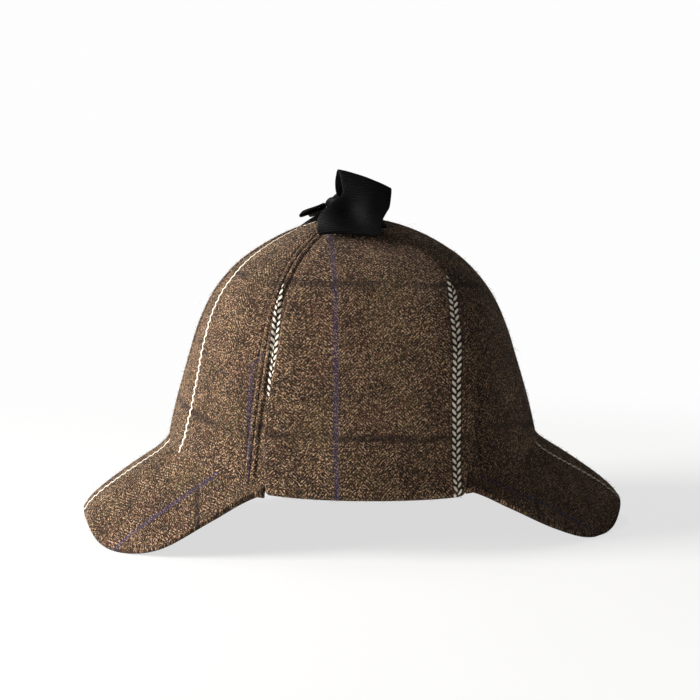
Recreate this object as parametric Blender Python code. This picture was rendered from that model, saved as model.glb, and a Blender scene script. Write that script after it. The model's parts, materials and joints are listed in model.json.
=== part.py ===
"""Deerstalker hat: a crown of six tweed panels, a stiff peak at the front and at the back, and two
ear flaps folded up the sides, whose black ribbon ties make a bow on top. It stands on its peaks.

Metres, +Z up. The front peak points to -X and the wearer's left is -Y. The origin is on the table
that the hat stands on, under its middle.
"""

import math

import bmesh
import bpy
from mathutils import Vector

# Crown: outer sizes at the height where the rim meets the middle of a peak
CROWN_LENGTH = 0.2132
CROWN_WIDTH = 0.1785
CROWN_HEIGHT = 0.1270
FRONT_RIM_HEIGHT = 0.0491
RIM_DIP = 0.0128
CLOTH = 0.0025
SEAM_GAP = 0.0004
SEAM_PINCH = 0.0011
SIDE_SEAM_ANGLE = math.radians(53.5)
TIP_HOLE_RADIUS = 0.0025
CLEARANCE = 0.0005

# Peaks: two layers of cloth over a stiffener. The edge height is that of the upper face where it
# is lowest; the lower face passes the table there, and is cut flat by it
PEAK_THICKNESS = 0.0040
FRONT_PEAK_SWEEP = math.radians(59.3)
BACK_PEAK_SWEEP = math.radians(63.0)
FRONT_PEAK_REACH = 0.0472
BACK_PEAK_REACH = 0.0498
PEAK_CORNER = 0.0035
PEAK_SEAM_LAP = 0.0010
PEAK_SEAM_TUCK = 0.0050
FRONT_PEAK_SQUARENESS = 2.3
BACK_PEAK_SQUARENESS = 2.0
PEAK_EDGE_BEVEL = 0.0018
PEAK_EDGE_HEIGHT = 0.0
PEAK_DOME = 0.0012
PEAK_DROOP = 0.0035

# Ear flaps
FLAP_WIDTH = 0.1035
FLAP_THICKNESS = 0.0026
FLAP_TURN_IN = 0.0080
FLAP_FOLD_DROP = 0.0019
FLAP_FOLD_SLOPE = 0.0015
FLAP_LIFT = 0.0085
FLAP_FRONT_LIFT = 0.0010
FLAP_LEAN = 0.0042
FLAP_DENT = 0.0022
FLAP_TIP_REACH = 0.0150

# Ribbon
RIBBON_WIDTH = 0.0320
RIBBON_THICKNESS = 0.0010
STRAP_LENGTH = 0.0300
KNOT_LENGTH = 0.0280
KNOT_DEPTH = 0.0220
KNOT_HEIGHT = 0.0150

# How far out from the crown's face the middle of a strap and the knot's underside lie
STRAP_LEVEL = 2.0 * CLEARANCE + FLAP_THICKNESS + RIBBON_THICKNESS / 2.0
KNOT_LEVEL = STRAP_LEVEL + RIBBON_THICKNESS / 2.0 + CLEARANCE

# Each loop and tail: its heading from the knot, how far it reaches from the middle of the knot,
# how high it rises over its seat, how far its top leans to one side, how much its top slants,
# and its number of rows
STANDING_LOOP = (math.radians(-101.0), 0.0410, 0.0215, 0.0090, -0.36, 34)
LOW_LOOP = (math.radians(165.0), 0.0250, 0.0065, 0.0, 0.0, 20)
FRONT_TAIL = (math.radians(112.0), 0.0440, 0.0015, 0.0, 0.0, 9)
BACK_TAIL = (math.radians(71.0), 0.0420, 0.0015, 0.0, 0.0, 9)

# How far up the crown's height and how far out its half-length each ring of the outline lies. In
# each of these tables the first and last rows only guide the curve's ends.
CROWN_OUTLINE = (
    # (height share, reach share)
    (-0.160, 1.047),
    (0.000, 1.000),
    (0.160, 0.958),
    (0.340, 0.897),
    (0.520, 0.832),
    (0.650, 0.762),
    (0.740, 0.686),
    (0.830, 0.573),
    (0.915, 0.405),
    (0.975, 0.215),
    (1.000, 0.000),
    (0.975, -0.215),
)

# The peaks' outer edges from their middle to a corner, in equal steps: how far each has risen from
# its lowest place to the corner's height
PEAK_EDGES = (
    # (front peak's rise share, back peak's rise share)
    (0.29, 0.25),
    (0.37, 0.33),
    (0.29, 0.25),
    (0.08, 0.05),
    (0.03, 0.04),
    (0.14, 0.26),
    (0.52, 0.61),
    (1.00, 1.00),
    (1.20, 1.10),
)

# The ear flap from its fold to its tip, in equal steps
FLAP_OUTLINE = (
    # (width share, lean share, lift share, dent share)
    (1.000, -0.80, -0.20, 0.0),
    (1.000, -0.75, 0.12, 0.3),
    (1.000, -0.70, 0.50, 0.9),
    (0.998, -0.35, 0.90, 1.0),
    (0.975, 0.10, 1.00, 0.8),
    (0.940, 0.50, 1.00, 0.4),
    (0.875, 0.50, 0.90, 0.1),
    (0.765, 0.75, 0.60, 0.0),
    (0.615, 0.85, 0.30, 0.0),
    (0.425, 0.55, 0.10, 0.0),
    (0.275, 0.15, 0.00, 0.0),
    (0.200, 0.00, 0.00, 0.0),
    (0.160, 0.00, 0.00, 0.0),
)

# The standing loop's side view, from the knot round to the knot again
LOOP_PATH = (
    # (reach share, rise share, width share, slant share)
    (-0.20, 0.00, 0.40, 0.0),
    (0.00, 0.00, 0.50, 0.0),
    (0.30, 0.00, 0.75, 0.0),
    (0.65, 0.01, 0.95, 0.0),
    (0.90, 0.06, 1.00, -0.1),
    (1.00, 0.20, 1.00, 0.0),
    (0.93, 0.42, 0.98, 0.2),
    (0.74, 0.68, 0.96, 0.5),
    (0.56, 0.90, 0.88, 0.9),
    (0.42, 1.00, 0.86, 1.0),
    (0.28, 0.90, 0.88, 0.9),
    (0.18, 0.66, 0.84, 0.6),
    (0.08, 0.44, 0.66, 0.2),
    (0.00, 0.34, 0.50, 0.0),
    (-0.10, 0.24, 0.40, 0.0),
)

# The low loop's side view, from the knot round to the knot again
LOW_LOOP_PATH = (
    # (reach share, rise share, width share, slant share)
    (-0.35, 0.20, 0.20, 0.0),
    (0.00, 0.14, 0.42, 0.0),
    (0.35, 0.08, 0.70, 0.0),
    (0.72, 0.08, 0.95, 0.0),
    (0.94, 0.16, 1.00, 0.0),
    (1.00, 0.44, 1.00, 0.0),
    (0.90, 0.76, 1.00, 0.0),
    (0.62, 1.00, 0.92, 0.0),
    (0.30, 0.90, 0.68, 0.0),
    (0.00, 0.66, 0.42, 0.0),
    (-0.30, 0.42, 0.20, 0.0),
)

# A tail from the knot to its cut end
TAIL_PATH = (
    # (reach share, rise share, width share, slant share)
    (-0.30, 0.0, 0.14, 0.0),
    (0.00, 0.0, 0.24, 0.0),
    (0.30, 0.1, 0.40, 0.0),
    (0.65, 0.0, 0.60, 0.0),
    (1.00, 0.3, 0.76, 0.0),
    (1.35, 0.6, 0.90, 0.0),
)

PANEL_COLUMNS = 8
PANEL_ROWS = 14
PEAK_COLUMNS = 32
PEAK_ROWS = 5
FLAP_COLUMNS = 12
FLAP_ROWS = 30
FLAP_BEND_START_SHARE = 0.12
FLAP_BEND_END_SHARE = 0.32
BAND_COLUMNS = 4
STRAP_ROWS = 6

TWEED = (0.105, 0.070, 0.048, 1.0)
RIBBON_BLACK = (0.008, 0.008, 0.010, 1.0)


def clear_scene():
    """Empties the scene."""
    for obj in list(bpy.data.objects):
        bpy.data.objects.remove(obj, do_unlink=True)


def material(name, colour, roughness):
    """A plain material with a colour and a roughness."""
    made = bpy.data.materials.new(name)
    made.use_nodes = True
    shader = made.node_tree.nodes["Principled BSDF"]
    shader.inputs["Base Color"].default_value = colour
    shader.inputs["Roughness"].default_value = roughness
    shader.inputs["Metallic"].default_value = 0.0
    return made


def between(low, high, share):
    """The value at a share of the way from low to high."""
    return low + (high - low) * share


def smooth_step(share):
    """Eases a share from 0 to 1."""
    share = min(1.0, max(0.0, share))
    return share * share * (3.0 - 2.0 * share)


def spline_through(rows, share):
    """The row at a share of the way along a table, on a curve through all but its end rows."""
    place = min(1.0, max(0.0, share)) * (len(rows) - 3)
    index = min(int(place), len(rows) - 4)
    t = place - index
    before, start, end, after = rows[index : index + 4]
    return tuple(
        0.5
        * (
            2.0 * b
            + (c - a) * t
            + (2.0 * a - 5.0 * b + 4.0 * c - d) * t * t
            + (3.0 * b - a - 3.0 * c + d) * t**3
        )
        for a, b, c, d in zip(before, start, end, after)
    )


def outline_lengths():
    """Steps along the crown's outline, as (length so far, height, reach)."""
    steps = 240
    found = []
    length = 0.0
    for i in range(steps + 1):
        height_share, reach_share = spline_through(CROWN_OUTLINE, i / steps)
        height = CROWN_HEIGHT * height_share
        reach = CROWN_LENGTH / 2.0 * max(reach_share, 0.0)
        if found:
            length += math.hypot(height - found[-1][1], reach - found[-1][2])
        found.append((length, height, reach))
    return found


OUTLINE = outline_lengths()
OUTLINE_LENGTH = OUTLINE[-1][0]
WIDTH_RATIO = CROWN_WIDTH / CROWN_LENGTH


def outline_at(climb):
    """(height above the rim line, reach) at a length up the outline; the flare runs on below 0."""
    if climb <= 0.0:
        step, height, reach = OUTLINE[12]
        slope = climb / step
        return height * slope, OUTLINE[0][2] + (reach - OUTLINE[0][2]) * slope
    low, high = 0, len(OUTLINE) - 1
    while high - low > 1:
        middle = (low + high) // 2
        if OUTLINE[middle][0] <= climb:
            low = middle
        else:
            high = middle
    a, b = OUTLINE[low], OUTLINE[high]
    t = min(1.0, (climb - a[0]) / (b[0] - a[0]))
    return between(a[1], b[1], t), between(a[2], b[2], t)


def climb_at_reach(reach):
    """The length up the outline where the crown's half-length is reach."""
    low, high = 0.0, OUTLINE_LENGTH
    for _ in range(40):
        middle = (low + high) / 2.0
        if outline_at(middle)[1] > reach:
            low = middle
        else:
            high = middle
    return (low + high) / 2.0


def seam_nearness(angle):
    """1 on a seam of the crown and 0 midway between two."""
    turn = math.acos(min(1.0, abs(math.cos(angle))))
    if turn < SIDE_SEAM_ANGLE:
        phase = turn / SIDE_SEAM_ANGLE
    else:
        phase = 1.0 + 0.5 * (turn - SIDE_SEAM_ANGLE) / (math.pi / 2.0 - SIDE_SEAM_ANGLE)
    return math.cos(math.pi * phase) ** 6


def crown_face(angle, climb, pinch=0.0):
    """A point of the crown's outer face, drawn in along the seams by pinch."""
    height, reach = outline_at(climb)
    drawn_in = pinch * seam_nearness(angle)
    reach = max(reach - drawn_in * min(1.0, reach / (CROWN_LENGTH / 4.0)), 0.0)
    return Vector(
        (
            reach * math.cos(angle),
            reach * math.sin(angle) * WIDTH_RATIO,
            FRONT_RIM_HEIGHT + height,
        )
    )


def crown_point(angle, climb, out=0.0, pinch=0.0):
    """A point at a distance out from the crown's outer face."""
    place = crown_face(angle, climb, pinch)
    if out == 0.0:
        return place
    turn, rise = 0.01, 0.0006
    around = crown_face(angle + turn, climb, pinch) - crown_face(angle - turn, climb, pinch)
    up = crown_face(angle, climb + rise, pinch) - crown_face(angle, climb - rise, pinch)
    return place + around.cross(up).normalized() * out


def point_above(x, y, out):
    """A point at a distance out from the crown's face where that face has plan place (x, y)."""
    reach = max(math.hypot(x, y / WIDTH_RATIO), TIP_HOLE_RADIUS / 2.0)
    return crown_point(math.atan2(y / WIDTH_RATIO, x), climb_at_reach(reach), out)


def rim_climb(angle):
    """Where the rim lies on the outline: it dips towards the sides."""
    dip = RIM_DIP * (1.0 - math.cos(angle) ** 4)
    step, height, _ = OUTLINE[12]
    return -dip * step / height


def grid_points(columns, rows, place):
    """Places for a grid of (columns + 1) by (rows + 1) points, from place(across, along)."""
    return [
        [place(i / columns, j / rows) for j in range(rows + 1)]
        for i in range(columns + 1)
    ]


def add_grid(mesh, points):
    """Adds a Blender grid to mesh with its points placed, and returns its vertices by column."""
    columns, rows = len(points) - 1, len(points[0]) - 1
    made = bmesh.ops.create_grid(mesh, x_segments=columns, y_segments=rows, size=0.5)
    by_column = [[None] * (rows + 1) for _ in range(columns + 1)]
    for vert in made["verts"]:
        i = round((vert.co.x + 0.5) * columns)
        j = round((vert.co.y + 0.5) * rows)
        by_column[i][j] = vert
    for column, places in zip(by_column, points):
        for vert, place in zip(column, places):
            vert.co = place
    return by_column


def finish_object(name, mesh, look, parent):
    """Turns mesh into a named object with a material under a parent."""
    bmesh.ops.recalc_face_normals(mesh, faces=mesh.faces)
    data = bpy.data.meshes.new(name)
    mesh.to_mesh(data)
    mesh.free()
    data.materials.append(look)
    data.shade_smooth()
    data.set_sharp_from_angle(angle=math.radians(40.0))
    obj = bpy.data.objects.new(name, data)
    bpy.context.scene.collection.objects.link(obj)
    obj.parent = parent
    return obj


def closed_wall(outer, inner):
    """A closed mesh between two grids of points, joined round their edges."""
    mesh = bmesh.new()
    add_grid(mesh, outer)
    first = set(mesh.faces)
    add_grid(mesh, inner)
    bmesh.ops.reverse_faces(mesh, faces=[f for f in mesh.faces if f not in first])
    rims = [edge for edge in mesh.edges if edge.is_boundary]
    bmesh.ops.bridge_loops(mesh, edges=rims)
    return mesh


def sheet_normals(points):
    """The unit normal at each point of a grid of points."""
    columns, rows = len(points) - 1, len(points[0]) - 1
    normals = []
    for i in range(columns + 1):
        line = []
        for j in range(rows + 1):
            across = points[min(i + 1, columns)][j] - points[max(i - 1, 0)][j]
            along = points[i][min(j + 1, rows)] - points[i][max(j - 1, 0)]
            line.append(across.cross(along).normalized())
        normals.append(line)
    return normals


def thick_sheet(points, thickness):
    """A closed mesh of a sheet of cloth whose middle lies on a grid of points."""
    normals = sheet_normals(points)
    half = thickness / 2.0
    outer = [
        [p + n * half for p, n in zip(a, b)] for a, b in zip(points, normals)
    ]
    inner = [
        [p - n * half for p, n in zip(a, b)] for a, b in zip(points, normals)
    ]
    return closed_wall(outer, inner)


def build_crown_panel(name, start, end, look, parent):
    """One of the crown's panels, between the seams at two angles, from the rim to the tip."""
    top = climb_at_reach(TIP_HOLE_RADIUS)

    def place(across, along, out):
        climb = between(rim_climb(between(start, end, across)), top, along)
        radius = max(outline_at(climb)[1] * WIDTH_RATIO, TIP_HOLE_RADIUS)
        trim = SEAM_GAP / 2.0 / radius
        angle = between(start + trim, end - trim, across)
        return crown_point(angle, climb, out, SEAM_PINCH)

    outer = grid_points(PANEL_COLUMNS, PANEL_ROWS, lambda a, b: place(a, b, 0.0))
    inner = grid_points(PANEL_COLUMNS, PANEL_ROWS, lambda a, b: place(a, b, -CLOTH))
    return finish_object(name, closed_wall(outer, inner), look, parent)


def peak_edge(across, column, sweep, peak_reach, squareness):
    """A point of a peak's outer edge, at its upper face. across runs from -1 to 1 between the
    corners, and column picks the peak's column of the edge table. The plan is a superellipse."""
    corner = crown_point(sweep, rim_climb(sweep), PEAK_CORNER)
    tip_x = CROWN_LENGTH / 2.0 + peak_reach
    sideways = math.sin(across * math.pi / 2.0)
    forward = max(0.0, 1.0 - abs(sideways) ** squareness) ** (1.0 / squareness)
    rise = spline_through(PEAK_EDGES, abs(across))[column]
    return Vector(
        (
            between(corner.x, tip_x, forward),
            corner.y * sideways,
            between(PEAK_EDGE_HEIGHT, corner.z, rise),
        )
    )


def build_peak(name, column, sweep, peak_reach, squareness, facing, look, parent):
    """A stiff peak: an arched sheet from the rim out to a rounded edge, flat where it rests."""

    def upper(share, along):
        across = between(-1.0, 1.0, share)
        angle = sweep * across
        root = crown_point(angle, rim_climb(angle) + PEAK_SEAM_LAP, CLEARANCE)
        swell = PEAK_DOME * math.sin(math.pi * along) + PEAK_DROOP * along * (1.0 - along**12)
        edge = peak_edge(across, column, sweep, peak_reach, squareness)
        return root.lerp(edge, along) + Vector((0.0, 0.0, swell * (1.0 - across * across)))

    top = grid_points(PEAK_COLUMNS, PEAK_ROWS, upper)
    normals = sheet_normals(top)

    def lower(i, j):
        if j > 0:
            down = PEAK_THICKNESS if normals[i][j].z > 0.0 else -PEAK_THICKNESS
            return top[i][j] - normals[i][j] * down
        angle = sweep * between(-1.0, 1.0, i / PEAK_COLUMNS)
        return crown_point(angle, rim_climb(angle) - PEAK_SEAM_TUCK, CLEARANCE)

    under = [[lower(i, j) for j in range(PEAK_ROWS + 1)] for i in range(PEAK_COLUMNS + 1)]
    mesh = closed_wall(top, under)
    edge_reach = CROWN_LENGTH / 2.0 + PEAK_CORNER
    corners = [
        edge
        for edge in mesh.edges
        if edge.calc_face_angle(0.0) > math.radians(50.0)
        and all(math.hypot(v.co.x, v.co.y / WIDTH_RATIO) > edge_reach for v in edge.verts)
    ]
    bmesh.ops.bevel(
        mesh, geom=corners, offset=PEAK_EDGE_BEVEL, segments=2, profile=0.5, affect="EDGES"
    )
    everything = mesh.verts[:] + mesh.edges[:] + mesh.faces[:]
    bmesh.ops.bisect_plane(
        mesh, geom=everything, plane_co=(0, 0, 0), plane_no=(0, 0, -1), clear_outer=True
    )
    bmesh.ops.holes_fill(mesh, edges=[e for e in mesh.edges if e.is_boundary], sides=0)
    bmesh.ops.triangulate(mesh, faces=[f for f in mesh.faces if len(f.verts) > 4])
    if facing < 0.0:
        bmesh.ops.scale(mesh, vec=(-1.0, 1.0, 1.0), verts=mesh.verts)
    return finish_object(name, mesh, look, parent)


def flap_stand(across, lift, dent):
    """How far a place of a flap stands off the crown: most along its rear edge."""
    rear = smooth_step((across + 0.35) / 1.35) ** 1.5
    front = smooth_step((-across - 0.5) / 0.5)
    hollow = math.exp(-(((across + 0.55) / 0.22) ** 2))
    stand = (FLAP_LIFT * rear + FLAP_FRONT_LIFT * front) * lift
    return max(stand + FLAP_DENT * dent * (0.6 - 0.6 * hollow), 0.0)


def flap_middle(share, along, side):
    """A point of the middle of an ear flap's cloth. along runs from inside the rim to the tip."""
    across = between(-1.0, 1.0, share)
    way = max(0.0, (along - FLAP_BEND_END_SHARE) / (1.0 - FLAP_BEND_END_SHARE))
    width, lean, lift, dent = spline_through(FLAP_OUTLINE, way)
    x = FLAP_LEAN * lean + FLAP_WIDTH / 2.0 * width * across
    outside = CLEARANCE + FLAP_THICKNESS / 2.0 + flap_stand(across, max(lift, 0.0), dent)
    fold = rim_climb(math.pi / 2.0)
    if along < FLAP_BEND_END_SHARE:
        inside = -(CLOTH + CLEARANCE + FLAP_THICKNESS / 2.0)
        angle = math.acos(x / outline_at(fold)[1])
        turn_in = FLAP_TURN_IN * max(0.0, 1.0 - along / FLAP_BEND_START_SHARE)
        bend = max(0.0, along - FLAP_BEND_START_SHARE)
        swing = math.pi * bend / (FLAP_BEND_END_SHARE - FLAP_BEND_START_SHARE)
        drop = FLAP_FOLD_DROP + FLAP_FOLD_SLOPE * (across + 1.0)
        climb = rim_climb(angle) + turn_in - drop * math.sin(swing)
        start = crown_point(-angle * side, climb, inside, SEAM_PINCH)
        end = crown_point(-angle * side, climb, outside)
        return start.lerp(end, 0.5 - 0.5 * math.cos(swing))
    climb = between(fold, climb_at_reach(FLAP_TIP_REACH), way)
    reach = outline_at(climb)[1]
    angle = math.acos(min(1.0, max(-1.0, x / reach)))
    climb += (rim_climb(angle) - fold) * (1.0 - smooth_step(way * 3.0))
    return crown_point(-angle * side, climb, outside)


def build_flap(name, side, look, parent):
    """An ear flap: sewn in under the rim, folded up over the side and drawn to the crown's tip."""
    points = grid_points(FLAP_COLUMNS, FLAP_ROWS, lambda a, b: flap_middle(a, b, side))
    return finish_object(name, thick_sheet(points, FLAP_THICKNESS), look, parent)


def build_strap(name, side, look, parent):
    """A ribbon sewn on a flap's tip, running up to the knot."""

    def place(share, along):
        x = RIBBON_WIDTH / 2.0 * between(-1.0, 1.0, share) * between(0.62, 0.95, along)
        y = between(CLEARANCE, STRAP_LENGTH, along)
        return point_above(x, -y * side, STRAP_LEVEL)

    points = grid_points(BAND_COLUMNS, STRAP_ROWS, place)
    return finish_object(name, thick_sheet(points, RIBBON_THICKNESS), look, parent)


def build_knot(name, look, parent):
    """The knot: a lump of wrapped ribbon that sits on the straps."""
    mesh = bmesh.new()
    made = bmesh.ops.create_uvsphere(mesh, u_segments=18, v_segments=12, radius=0.5)
    for vert in made["verts"]:
        x, y, z = vert.co
        swell = 1.0 + 0.02 * math.sin(9.0 * x + 2.0) * math.cos(7.0 * y)
        lift = KNOT_HEIGHT * max((z + 0.30) / 0.80, 0.04 * (z + 0.5))
        base = point_above(x * KNOT_LENGTH * swell, y * KNOT_DEPTH * swell, KNOT_LEVEL)
        vert.co = base + Vector((0.0, 0.0, lift))
    return finish_object(name, mesh, look, parent)


def knot_edge(heading):
    """How far the knot's side is from its middle in a heading."""
    across = math.cos(heading) / (KNOT_LENGTH / 2.0)
    along = math.sin(heading) / (KNOT_DEPTH / 2.0)
    return 1.0 / math.hypot(across, along)


def build_band(name, path, bend, look, parent):
    """A ribbon that follows a side-view path out from the knot. bend holds the heading, the
    reach, the rise, the lean to one side and the slant of the top, and the number of rows."""
    heading, reach, rise, lean, slant, rows = bend
    out = Vector((math.cos(heading), math.sin(heading), 0.0))
    side = Vector((-out.y, out.x, 0.0))
    start = knot_edge(heading) + CLEARANCE

    def place(share, along):
        reach_share, rise_share, width_share, slant_share = spline_through(path, along)
        across = RIBBON_WIDTH / 2.0 * between(-1.0, 1.0, share) * width_share
        flat = out * (start + (reach - start) * reach_share) + side * across
        lift = rise * rise_share + slant * across * slant_share
        seat = point_above(flat.x, flat.y, KNOT_LEVEL + RIBBON_THICKNESS * 0.6)
        return seat + Vector((0.0, 0.0, lift)) + side * lean * rise_share

    points = grid_points(BAND_COLUMNS, rows, place)
    return finish_object(name, thick_sheet(points, RIBBON_THICKNESS), look, parent)


def build_hat():
    """Builds every piece of the hat under one empty."""
    clear_scene()
    tweed = material("tweed", TWEED, 0.95)
    ribbon = material("ribbon", RIBBON_BLACK, 0.45)
    hat = bpy.data.objects.new("deerstalker", None)
    bpy.context.scene.collection.objects.link(hat)

    panels = ("front_left", "side_left", "back_left", "back_right", "side_right", "front_right")
    half_round = (0.0, SIDE_SEAM_ANGLE, math.pi - SIDE_SEAM_ANGLE)
    seams = [turn + angle for turn in (math.pi, 2.0 * math.pi) for angle in half_round]
    seams.append(3.0 * math.pi)
    for place, start, end in zip(panels, seams, seams[1:]):
        build_crown_panel("crown_panel_" + place, start, end, tweed, hat)
    front = (0, FRONT_PEAK_SWEEP, FRONT_PEAK_REACH, FRONT_PEAK_SQUARENESS, -1.0)
    back = (1, BACK_PEAK_SWEEP, BACK_PEAK_REACH, BACK_PEAK_SQUARENESS, 1.0)
    build_peak("front_peak", *front, tweed, hat)
    build_peak("back_peak", *back, tweed, hat)
    for name, side in (("left", 1.0), ("right", -1.0)):
        build_flap("ear_flap_" + name, side, tweed, hat)
        build_strap("ribbon_strap_" + name, side, ribbon, hat)
    build_knot("ribbon_knot", ribbon, hat)
    build_band("ribbon_loop_standing", LOOP_PATH, STANDING_LOOP, ribbon, hat)
    build_band("ribbon_loop_low", LOW_LOOP_PATH, LOW_LOOP, ribbon, hat)
    build_band("ribbon_tail_front", TAIL_PATH, FRONT_TAIL, ribbon, hat)
    build_band("ribbon_tail_back", TAIL_PATH, BACK_TAIL, ribbon, hat)


build_hat()
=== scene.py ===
"""Deerstalker hat in herringbone tweed, with its ear flaps folded up and tied over the top.

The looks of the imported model. Metres, +Z up. The front peak points to -X and the wearer's left is
-Y. Each class builds one kind of piece, and build_hat() makes them all in order.
"""

from __future__ import annotations

import json
import logging
import math
from dataclasses import dataclass
from enum import Enum
from typing import Callable, Iterable, Sequence

import bmesh
import bpy
import numpy as np
from mathutils import Matrix, Quaternion, Vector, noise

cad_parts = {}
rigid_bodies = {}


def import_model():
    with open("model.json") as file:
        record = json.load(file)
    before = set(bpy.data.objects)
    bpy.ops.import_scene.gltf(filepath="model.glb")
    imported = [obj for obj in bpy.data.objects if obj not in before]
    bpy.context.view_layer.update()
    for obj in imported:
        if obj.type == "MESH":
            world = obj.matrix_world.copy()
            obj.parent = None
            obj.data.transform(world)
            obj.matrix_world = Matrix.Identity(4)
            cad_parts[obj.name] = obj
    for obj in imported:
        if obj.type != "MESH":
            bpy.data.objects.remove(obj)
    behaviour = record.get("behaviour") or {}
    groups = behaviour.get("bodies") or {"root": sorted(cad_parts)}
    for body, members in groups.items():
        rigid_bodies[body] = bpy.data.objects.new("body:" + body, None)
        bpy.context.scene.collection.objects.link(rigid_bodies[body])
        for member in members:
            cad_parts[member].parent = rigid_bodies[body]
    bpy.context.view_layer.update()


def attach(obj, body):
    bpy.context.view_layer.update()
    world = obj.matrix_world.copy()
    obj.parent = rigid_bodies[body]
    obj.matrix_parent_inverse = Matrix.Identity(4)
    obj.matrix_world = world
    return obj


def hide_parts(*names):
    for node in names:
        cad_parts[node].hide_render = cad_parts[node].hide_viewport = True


LOG = logging.getLogger("deerstalker")
Colour = tuple[float, float, float, float]
MM = 0.001


class Side(Enum):
    """The wearer's sides, as the sign of -Y."""

    LEFT = 1.0
    RIGHT = -1.0


class Slot(Enum):
    """The record's material slots."""

    TWEED = "tweed"
    RIBBON = "ribbon"


@dataclass(frozen=True)
class HatSizes:
    """The hat's real sizes, in metres and radians, as the solid model has them."""

    crown_length: float = 0.2132
    crown_width: float = 0.1785
    crown_height: float = 0.1270
    rim_height: float = 0.0491
    rim_dip: float = 0.0128
    cloth: float = 0.0025
    seam_pinch: float = 0.0011
    side_seam: float = math.radians(53.5)
    tip_hole: float = 0.0025
    clearance: float = 0.0005
    peak_thickness: float = 0.0040
    peak_corner: float = 0.0035
    peak_lap: float = 0.0010
    peak_tuck: float = 0.0050
    peak_edge_height: float = 0.0
    peak_dome: float = 0.0012
    peak_droop: float = 0.0035
    flap_width: float = 0.1035
    flap_thickness: float = 0.0026
    flap_turn_in: float = 0.0080
    flap_fold_drop: float = 0.0019
    flap_fold_slope: float = 0.0015
    flap_lift: float = 0.0085
    flap_front_lift: float = 0.0010
    flap_lean: float = 0.0042
    flap_dent: float = 0.0022
    flap_tip_reach: float = 0.0150
    flap_bend_start: float = 0.12
    flap_bend_end: float = 0.32
    ribbon_width: float = 0.0320
    ribbon_thickness: float = 0.0010
    strap_length: float = 0.0300
    knot_length: float = 0.0280
    knot_depth: float = 0.0220
    knot_height: float = 0.0150

    @property
    def strap_level(self) -> float:
        """How far out from the crown's face the middle of a strap lies."""
        return 2.0 * self.clearance + self.flap_thickness + self.ribbon_thickness / 2.0

    @property
    def knot_level(self) -> float:
        """How far out from the crown's face the knot's underside lies."""
        return self.strap_level + self.ribbon_thickness / 2.0 + self.clearance


# Share tables. The first and last rows of each only guide the curve's ends.
CROWN_OUTLINE = (
    # (height share, reach share)
    (-0.160, 1.047),
    (0.000, 1.000),
    (0.160, 0.958),
    (0.340, 0.897),
    (0.520, 0.832),
    (0.650, 0.762),
    (0.740, 0.686),
    (0.830, 0.573),
    (0.915, 0.405),
    (0.975, 0.215),
    (1.000, 0.000),
    (0.975, -0.215),
)

PEAK_EDGES = (
    # (front peak's rise share, back peak's rise share)
    (0.29, 0.25),
    (0.37, 0.33),
    (0.29, 0.25),
    (0.08, 0.05),
    (0.03, 0.04),
    (0.14, 0.26),
    (0.52, 0.61),
    (1.00, 1.00),
    (1.20, 1.10),
)

FLAP_OUTLINE = (
    # (width share, lean share, lift share, dent share)
    (1.000, -0.80, -0.20, 0.0),
    (1.000, -0.75, 0.12, 0.3),
    (1.000, -0.70, 0.50, 0.9),
    (0.998, -0.35, 0.90, 1.0),
    (0.975, 0.10, 1.00, 0.8),
    (0.940, 0.50, 1.00, 0.4),
    (0.875, 0.50, 0.90, 0.1),
    (0.765, 0.75, 0.60, 0.0),
    (0.615, 0.85, 0.30, 0.0),
    (0.425, 0.55, 0.10, 0.0),
    (0.275, 0.15, 0.00, 0.0),
    (0.200, 0.00, 0.00, 0.0),
    (0.160, 0.00, 0.00, 0.0),
)

STANDING_LOOP_PATH = (
    # (reach share, rise share, width share, slant share, shift share)
    (-0.20, 0.00, 0.36, 0.0, 0.00),
    (0.00, 0.00, 0.44, 0.0, 0.00),
    (0.30, 0.00, 0.58, 0.0, 0.04),
    (0.65, 0.01, 0.70, 0.0, 0.08),
    (0.90, 0.05, 0.82, 0.0, 0.06),
    (1.00, 0.18, 0.97, 0.0, -0.02),
    (0.98, 0.36, 1.02, 0.0, -0.08),
    (0.90, 0.50, 1.02, 0.1, -0.09),
    (0.82, 0.62, 0.92, 0.3, 0.04),
    (0.73, 0.75, 0.76, 0.6, 0.22),
    (0.58, 0.90, 0.80, 0.9, 0.13),
    (0.42, 1.00, 0.86, 1.0, 0.02),
    (0.28, 0.90, 0.86, 0.9, 0.00),
    (0.18, 0.66, 0.80, 0.6, 0.00),
    (0.08, 0.44, 0.66, 0.2, 0.00),
    (0.00, 0.30, 0.46, 0.0, 0.00),
    (-0.10, 0.24, 0.36, 0.0, 0.00),
)

LOW_LOOP_PATH = (
    # (reach share, rise share, width share, slant share, shift share)
    (-0.35, 0.10, 0.20, 0.0, 0.0),
    (0.00, 0.10, 0.56, 0.0, 0.0),
    (0.35, 0.08, 0.74, 0.0, 0.0),
    (0.72, 0.08, 0.95, 0.0, 0.0),
    (0.95, 0.10, 1.00, 0.0, 0.0),
    (1.00, 0.22, 1.00, 0.0, 0.0),
    (0.94, 0.34, 1.00, 0.0, 0.0),
    (0.62, 0.40, 0.92, 0.0, 0.0),
    (0.30, 0.46, 0.74, 0.0, 0.0),
    (0.00, 0.52, 0.58, 0.0, 0.0),
    (-0.30, 0.42, 0.20, 0.0, 0.0),
)

TAIL_PATH = (
    # (reach share, rise share, width share, slant share, shift share)
    (-0.30, 0.0, 0.14, 0.0, 0.0),
    (0.00, 0.0, 0.24, 0.0, 0.0),
    (0.30, 0.1, 0.40, 0.0, 0.0),
    (0.65, 0.0, 0.60, 0.0, 0.0),
    (1.00, 0.3, 0.76, 0.0, 0.0),
    (1.35, 0.6, 0.90, 0.0, 0.0),
)


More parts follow.
